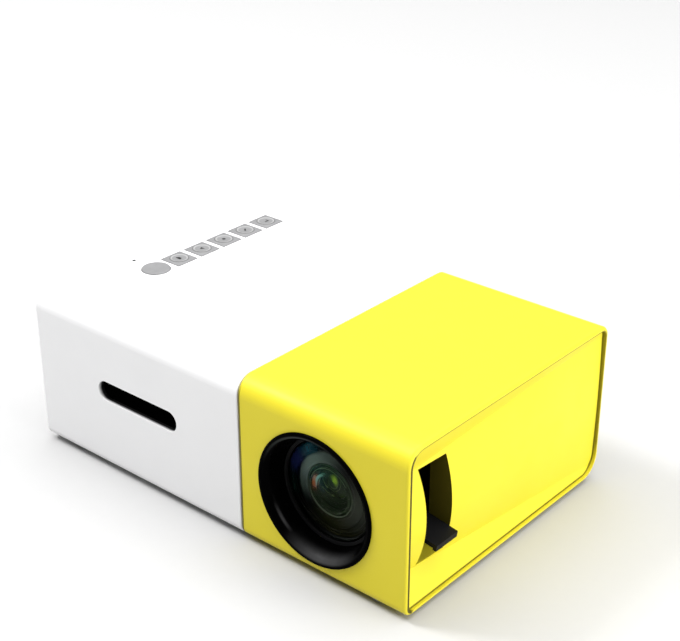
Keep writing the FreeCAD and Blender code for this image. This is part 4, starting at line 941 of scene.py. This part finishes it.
def makeFeet():
    low, high = (Vector(corner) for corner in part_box("rubber_feet"))
    radius = foot["radius"] * mm
    places = [(x, y) for x in (low.x + radius, high.x - radius) for y in (low.y + radius, high.y - radius)]
    deep = high.z - low.z
    first = startPiece(
        "rubberFeet", bpy.ops.mesh.primitive_cylinder_add, vertices=40, radius=radius, depth=deep,
        location=(*places[0], low.z + deep / 2),
    )
    pickFaces(first, lambda middle, normal: normal.z < -0.9)
    bpy.ops.mesh.bevel(offset=foot["chamfer"] * mm, segments=2)
    pickFaces(first, lambda middle, normal: normal.z < -0.99)
    bpy.ops.mesh.inset(thickness=foot["ringIn"] * mm)
    bpy.ops.mesh.inset(thickness=foot["ringWall"] * mm)
    bpy.ops.transform.translate(value=(0, 0, foot["ringDeep"] * mm))
    for x, y in places[1:]:
        bpy.ops.mesh.select_all(action="DESELECT")
        edited = bmesh.from_edit_mesh(first.data)
        for vert in edited.verts:
            inFirst = math.dist(vert.co.xy, places[0]) < radius * 1.1
            vert.select_set(inFirst)
        edited.select_flush(True)
        bmesh.update_edit_mesh(first.data)
        step = (x - places[0][0], y - places[0][1], 0)
        bpy.ops.mesh.duplicate_move(TRANSFORM_OT_translate={"value": step})
    endPiece(first, "rubber", "case", "rubber_pad", "rubber_feet")


makeFeet()
print("feet made")

# stage: pale floor, soft lights and the camera
stageLook = {
    "floorSize": 8.0, "drop": 0.0002, "floorTone": (0.49, 0.49, 0.49), "fibreTone": (0.46, 0.46, 0.46),
    "worldStrength": 0.15,
}


def makeStage():
    bpy.ops.object.select_all(action="DESELECT")
    bpy.ops.mesh.primitive_plane_add(size=stageLook["floorSize"], location=(0, 0, -stageLook["drop"]))
    floor = bpy.context.object
    floor.name = "paleFloor"
    bpy.ops.object.transform_apply(location=True)
    paper = Finish("PaleFloorPaper", {"Specular IOR Level": 0.1, "Roughness": 0.9})
    fibre = paper.noise(300, 3)
    paper.feed(Base_Color=paper.mix(fibre * 0.4, stageLook["floorTone"], stageLook["fibreTone"]))
    floor.data.materials.append(paper.material)


def addSoftbox(name, look):
    light = bpy.data.lights.new(name, "AREA")
    light.shape = "RECTANGLE"
    light.size, light.size_y = look["size"]
    light.energy = look["power"]
    lamp = bpy.data.objects.new(name, light)
    bpy.context.scene.collection.objects.link(lamp)
    lamp.location = look["at"]
    aim = Vector(look["aim"]) - lamp.location
    lamp.rotation_euler = aim.to_track_quat("-Z", "Y").to_euler()


softboxes = {
    "overheadSoftbox": {"at": (0, 0.2, 2.0), "size": (3, 3), "power": 92, "aim": (0, 0.2, 0)},
    "leftSoftbox": {"at": (-0.75, -0.35, 0.95), "size": (0.3, 0.3), "power": 10.5, "aim": (0.03, 0, 0.02)},
    "endSoftbox": {"at": (0.9, 0.12, 0.3), "size": (0.7, 0.6), "power": 9, "aim": (0.06, 0, 0.03)},
}
cameraLook = {
    "lens": 76.381, "sensor": 36, "nearest": 0.01,
    "azimuth": 40.473, "elevation": 26.541, "at": (0.228741, -0.257651, 0.214418),
}


def makeWorld():
    world = bpy.data.worlds.new("StudioWorld")
    bpy.context.scene.world = world
    world.use_nodes = True
    background = world.node_tree.nodes["Background"]
    background.inputs["Color"].default_value = (1, 1, 1, 1)
    background.inputs["Strength"].default_value = stageLook["worldStrength"]
    bpy.context.scene.view_settings.view_transform = "Standard"


def makeCamera():
    data = bpy.data.cameras.new("studioCamera")
    data.lens = cameraLook["lens"]
    data.sensor_width = cameraLook["sensor"]
    data.clip_start = cameraLook["nearest"]
    camera = bpy.data.objects.new("studioCamera", data)
    bpy.context.scene.collection.objects.link(camera)
    camera.location = cameraLook["at"]
    tilt = math.radians(90 - cameraLook["elevation"])
    camera.rotation_euler = (tilt, 0, math.radians(cameraLook["azimuth"]))
    bpy.context.scene.camera = camera


makeStage()
for name, look in softboxes.items():
    addSoftbox(name, look)
makeWorld()
makeCamera()
print("stage, lights and camera ready")
